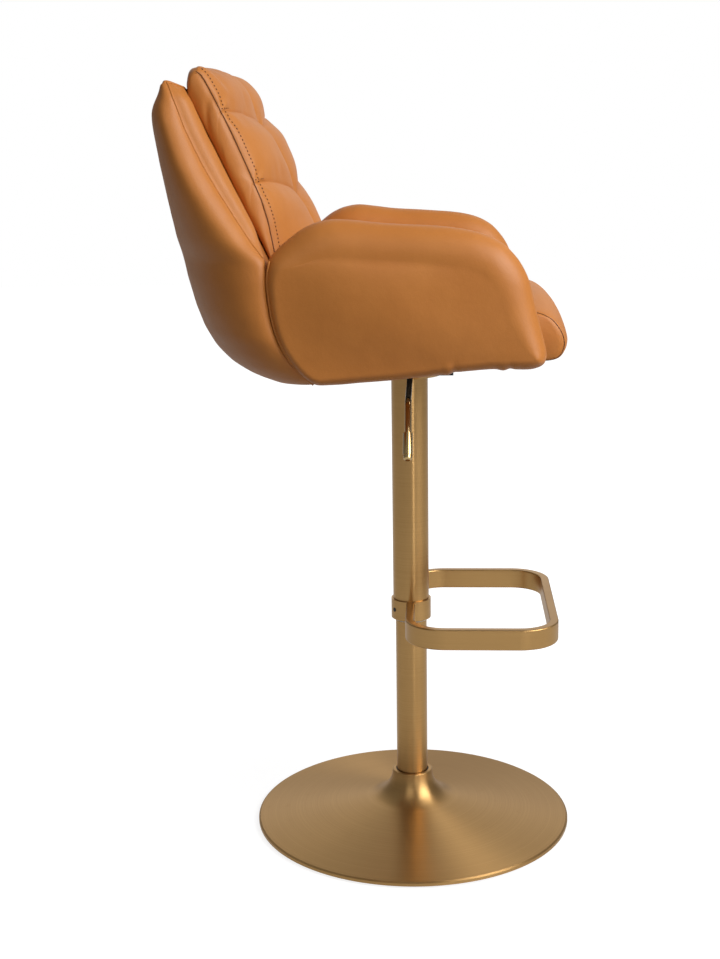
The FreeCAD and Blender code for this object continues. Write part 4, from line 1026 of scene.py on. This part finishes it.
def inflated(piece, held, cap, pressure=4.0, frames=20):
    """Fills a sewn cover: cloth under pressure, held along its seams, its travel capped."""
    level = [m for m in piece.modifiers if m.type == "SUBSURF"]
    levels = level[0].levels if level else 0
    piece.modifiers.clear()
    rest = np.array([v.co[:] for v in piece.data.vertices])
    group = piece.vertex_groups.new(name="held")
    group.add(held, 1.0, "REPLACE")
    cloth = piece.modifiers.new("fill", "CLOTH")
    leather_cloth = {
        "quality": 6, "mass": 0.25, "tension_stiffness": 22, "compression_stiffness": 22,
        "shear_stiffness": 8, "bending_stiffness": 4.0, "shrink_min": -0.012,
        "use_pressure": True, "uniform_pressure_force": pressure,
        "vertex_group_mass": "held", "pin_stiffness": 5,
    }
    for key, value in leather_cloth.items():
        setattr(cloth.settings, key, value)
    cloth.settings.effector_weights.gravity = 0
    cloth.collision_settings.use_collision = False
    cloth.collision_settings.use_self_collision = False
    cloth.point_cache.frame_start = 1
    cloth.point_cache.frame_end = frames
    scene = bpy.context.scene
    for step in range(1, frames + 1):
        scene.frame_set(step)
    shown = piece.evaluated_get(bpy.context.evaluated_depsgraph_get())
    filled = np.array([v.co[:] for v in shown.data.vertices])
    way = filled - rest
    far = np.linalg.norm(way, axis=1)
    way *= np.minimum(1, cap * MM / np.maximum(far, 1e-9))[:, None]
    ends = np.array([e.vertices[:] for e in piece.data.edges])
    for _ in range(4):
        total, share = way.copy(), np.ones(len(way))
        for a, b in (ends.T, ends.T[::-1]):
            np.add.at(total, a, way[b])
            np.add.at(share, a, 1)
        way = total / share[:, None]
    way[held] = 0
    piece.modifiers.clear()
    piece.vertex_groups.clear()
    piece.data.vertices.foreach_set("co", (rest + way).ravel())
    piece.data.update()
    scene.frame_set(1)
    if levels:
        finer = piece.modifiers.new("finer", "SUBSURF")
        finer.levels = finer.render_levels = levels


# ---- seat cushion ----

SEAT_OUTLINE = [
    (110, 703.5), (118, 722), (129, 746), (137, 762), (129, 770), (90, 773), (20, 775.5),
    (-60, 777), (-110, 778), (-140, 778), (-155, 776.5), (-164, 774.5), (-171, 772), (-178, 768),
    (-185, 762), (-191, 754.5), (-197, 744), (-201, 734), (-205.5, 722), (-209, 711),
    (-206, 702.5), (-201, 697.5), (-193, 695), (-184, 694.5), (-172, 694.5), (-158, 696),
    (-151.5, 700), (-148, 703.4), (-120, 703.5), (0, 703.5),
]
SEAT_CORNERS = [(110, 703.5), (129, 770), (-178, 768), (-193, 695)]
# The same outline where the top panel meets the side panel.
SEAT_EDGE = [
    (110, 703.5), (118, 718), (127, 736), (134, 748), (129, 755), (90, 756), (20, 757),
    (-60, 758), (-110, 758.5), (-140, 758), (-155, 756.5), (-163, 755), (-170, 753), (-176, 750),
    (-182.5, 745.5), (-189.5, 737), (-194, 729.5), (-196.5, 722), (-197, 714.5), (-195, 707.5),
    (-191.5, 702), (-187, 698.5), (-180, 696.5), (-172, 696), (-165, 696.5), (-155, 698.5),
    (-151, 701), (-148, 703.5), (-120, 703.5), (0, 703.5),
]
SEAT_EDGE_CORNERS = [(110, 703.5), (129, 755), (-176, 750), (-180, 696.5)]
SEAT_SIDE, SEAT_LONG = 18, 58
SEAT_SEAM = 190.0
SEAT_MIDDLE = np.array([-60, 735])  # Y and Z that the side seams are drawn in towards
# Metres: what lies below this height and behind the front lip is fixed to the pan, as is the rear.
SEAT_UNDER, SEAT_LIP, SEAT_REAR = 0.7045, -0.153, 0.085


def seat_cushion():
    """A boxed cushion that falls over the front edge, with a sewn side panel and a dark line of
    painted shade along each side seam.
    """
    outline = four_sided(SEAT_OUTLINE, SEAT_CORNERS, (SEAT_SIDE, SEAT_LONG, SEAT_SIDE, SEAT_LONG))
    edge = four_sided(SEAT_EDGE, SEAT_EDGE_CORNERS, (SEAT_SIDE, SEAT_LONG, SEAT_SIDE, SEAT_LONG))
    outside = np.concatenate([np.linspace(0, 180, 42), [184.5, 188.2, SEAT_SEAM]])
    half_x = np.concatenate([-outside[::-1], outside[1:]])
    loops = []
    for x in half_x:
        round_off = (abs(x) / SEAT_SEAM) ** 2.6
        flat = outline + (edge - outline) * round_off
        loops.append(np.column_stack([np.full(len(flat), x), flat]))
    sewn = range(SEAT_SIDE - 2, 2 * SEAT_SIDE + SEAT_LONG + 3)
    for side, sign in ((0, 1), (-1, -1)):
        for k in sewn:
            loops[side][k] += np.array([sign * 0.4, 0, 0])
            loops[side][k, 1:] += (SEAT_MIDDLE - loops[side][k, 1:]) * 0.012
    count = len(loops[0])
    seams = []
    for side in (0, len(loops) - 1):
        for k in sewn:
            seams.append((side * count + k, side * count + k + 1, 0.9))

    def panel(sign):
        def bulge(u, v):
            puff = (math.sin(math.pi * u) * math.sin(math.pi * v)) ** 0.45
            return np.array([sign * 12.5 * puff, 0, 0])
        return bulge

    piece = skin("seat_cushion_cover", loops, SEAT_SIDE, SEAT_LONG, (panel(-1), panel(1)), seams)
    held = [i for i, v in enumerate(piece.data.vertices)
            if v.co.z < SEAT_UNDER and v.co.y > SEAT_LIP]
    held += [side * count + k for side in (0, len(loops) - 1) for k in range(count)]
    held += [i for i, v in enumerate(piece.data.vertices) if v.co.y > SEAT_REAR]
    inflated(piece, sorted(set(held)), 1.3)
    applied(piece)
    moved(piece, slack)
    finished(piece, "seat_cushion")
    for name, loop, sign in (("right", loops[0], -1), ("left", loops[-1], 1)):
        # A dark line of close stitches laid along each side seam: painted shade in the seam's
        # groove.
        seam = loop[SEAT_SIDE + 30:2 * SEAT_SIDE + SEAT_LONG + 2] + np.array([-sign * 0.3, 0, 0])
        stitched(name + "_seat_seam_thread", seam, piece, 1.2, 1.4, 0.7, 0.0)
    return piece


for arm_side, arm_sign in (("right", -1), ("left", 1)):
    cover = arm(arm_side, arm_sign)
    seam_line = [(arm_sign * x, y, z) for (y, z), x in
                 zip(ARM_SEAM, (266, 268.5, 270, 271, 270.5, 269.5, 268, 265))]
    piped(arm_side + "_arm_piping", seam_line, 1.5)
back_shell()
back_cushion()
seat_cushion()


# ---- floor, light and camera ----

ROOM_LOW, ROOM_HIGH = 0.06, 0.28  # light of the room from below and from overhead
FLOOR_HALF = 9.0
# Name, place, what it faces, width and height in metres, watts.
LAMPS = [
    ("key_softbox", (-1.2, -2.3, 2.5), (0, 0, 0.8), (2.2, 2.2), 112),
    ("fill_softbox", (-2.6, 0.5, 2.6), (0, 0, 0.8), (1.6, 1.6), 11),
    ("column_strip", (-1.9, -0.75, 0.3), (0, 0, 0.45), (0.25, 0.6), 1.6),
    ("far_panel", (2.8, 0.0, 1.9), (0, 0, 0.6), (3.6, 2.6), 18),
]
CAMERA_PLACE = (-2.0122, -0.0475, 0.9488)
CAMERA_TURN = (3.348, 12.446, -0.8527)  # degrees: round from +X, downwards, rolled


def studio():
    floor_mesh = bpy.data.meshes.new("studio_floor")
    wide = FLOOR_HALF
    corners = [(-wide, -wide, 0), (wide, -wide, 0), (wide, wide, 0), (-wide, wide, 0)]
    floor_mesh.from_pydata(corners, [], [(0, 1, 2, 3)])
    floor = bpy.data.objects.new("studio_floor", floor_mesh)
    bpy.context.scene.collection.objects.link(floor)
    floor_mesh.materials.append(floor_paint())

    world = bpy.data.worlds.new("studio_room")
    bpy.context.scene.world = world
    world.use_nodes = True
    tree = world.node_tree
    tree.nodes.clear()
    new = tree.nodes.new
    link = tree.links.new
    seen = new("ShaderNodeLightPath")
    way = new("ShaderNodeTexCoord")
    split = new("ShaderNodeSeparateXYZ")
    link(way.outputs[0], split.inputs[0])
    above = new("ShaderNodeMapRange")
    above.inputs[1].default_value, above.inputs[2].default_value = -0.5, 1.0
    above.inputs[3].default_value, above.inputs[4].default_value = ROOM_LOW, ROOM_HIGH
    link(split.outputs[2], above.inputs[0])
    choice = new("ShaderNodeMix")
    link(seen.outputs[0], choice.inputs[0])
    link(above.outputs[0], choice.inputs[2])
    choice.inputs[3].default_value = 1.0
    background = new("ShaderNodeBackground")
    output = new("ShaderNodeOutputWorld")
    background.inputs[0].default_value = (1, 1, 1, 1)
    link(choice.outputs[0], background.inputs[1])
    link(background.outputs[0], output.inputs[0])

    def softbox(name, place, aim, size, power):
        light = bpy.data.lights.new(name, "AREA")
        light.shape = "RECTANGLE"
        light.size, light.size_y = size
        light.energy = power
        lamp = bpy.data.objects.new(name, light)
        lamp.location = place
        lamp.rotation_mode = "QUATERNION"
        lamp.rotation_quaternion = (Vector(aim) - Vector(place)).to_track_quat("-Z", "Y")
        bpy.context.scene.collection.objects.link(lamp)

    for name, place, aim, size, power in LAMPS:
        softbox(name, place, aim, size, power)


def floor_paint():
    """Pale matt floor that fades into the white background away from the stool."""
    f = Finish("studio_floor_paint", Roughness=0.9)
    tree = f.tree
    here = f.place()
    split = tree.nodes.new("ShaderNodeSeparateXYZ")
    f.join(here, split.inputs[0])
    x, y = Wire(f, split.outputs[0]), Wire(f, split.outputs[1])
    far = ((x * x + y * y) ** 0.5).between(0.25, 1.0)
    seen = f.node("ShaderNodeLightPath", {})
    mirrored = Wire(f, seen.socket.node.outputs["Is Glossy Ray"])
    f.feed("Base Color", f.mix(f.noise(here, 3, 2), (0.27, 0.27, 0.27), (0.29, 0.29, 0.29)))
    glow = seen * (0.82 + far * 0.18) + mirrored * 0.4
    f.feed("Emission Color", f.mix(glow, (0, 0, 0), (1, 1, 1)))
    f.feed("Emission Strength", 1.0)
    return f.material


def camera():
    """The view from the sitter's right, a little above the seat."""
    psi, down, roll = (math.radians(a) for a in CAMERA_TURN)
    level = math.cos(down)
    ahead = Vector((math.cos(psi) * level, math.sin(psi) * level, -math.sin(down)))
    right = Vector((math.sin(psi), -math.cos(psi), 0))
    up = right.cross(ahead)
    across = math.cos(roll) * right + math.sin(roll) * up
    over = math.cos(roll) * up - math.sin(roll) * right
    data = bpy.data.cameras.new("view")
    data.lens = 55.40
    data.sensor_width = 36
    data.sensor_fit = "AUTO"
    data.clip_start, data.clip_end = 0.05, 50
    lens = bpy.data.objects.new("view", data)
    turn = Matrix((across, over, -ahead)).transposed()
    lens.matrix_world = Matrix.Translation(CAMERA_PLACE) @ turn.to_4x4()
    bpy.context.scene.collection.objects.link(lens)
    bpy.context.scene.camera = lens


studio()
camera()
bpy.context.scene.view_settings.view_transform = "Standard"
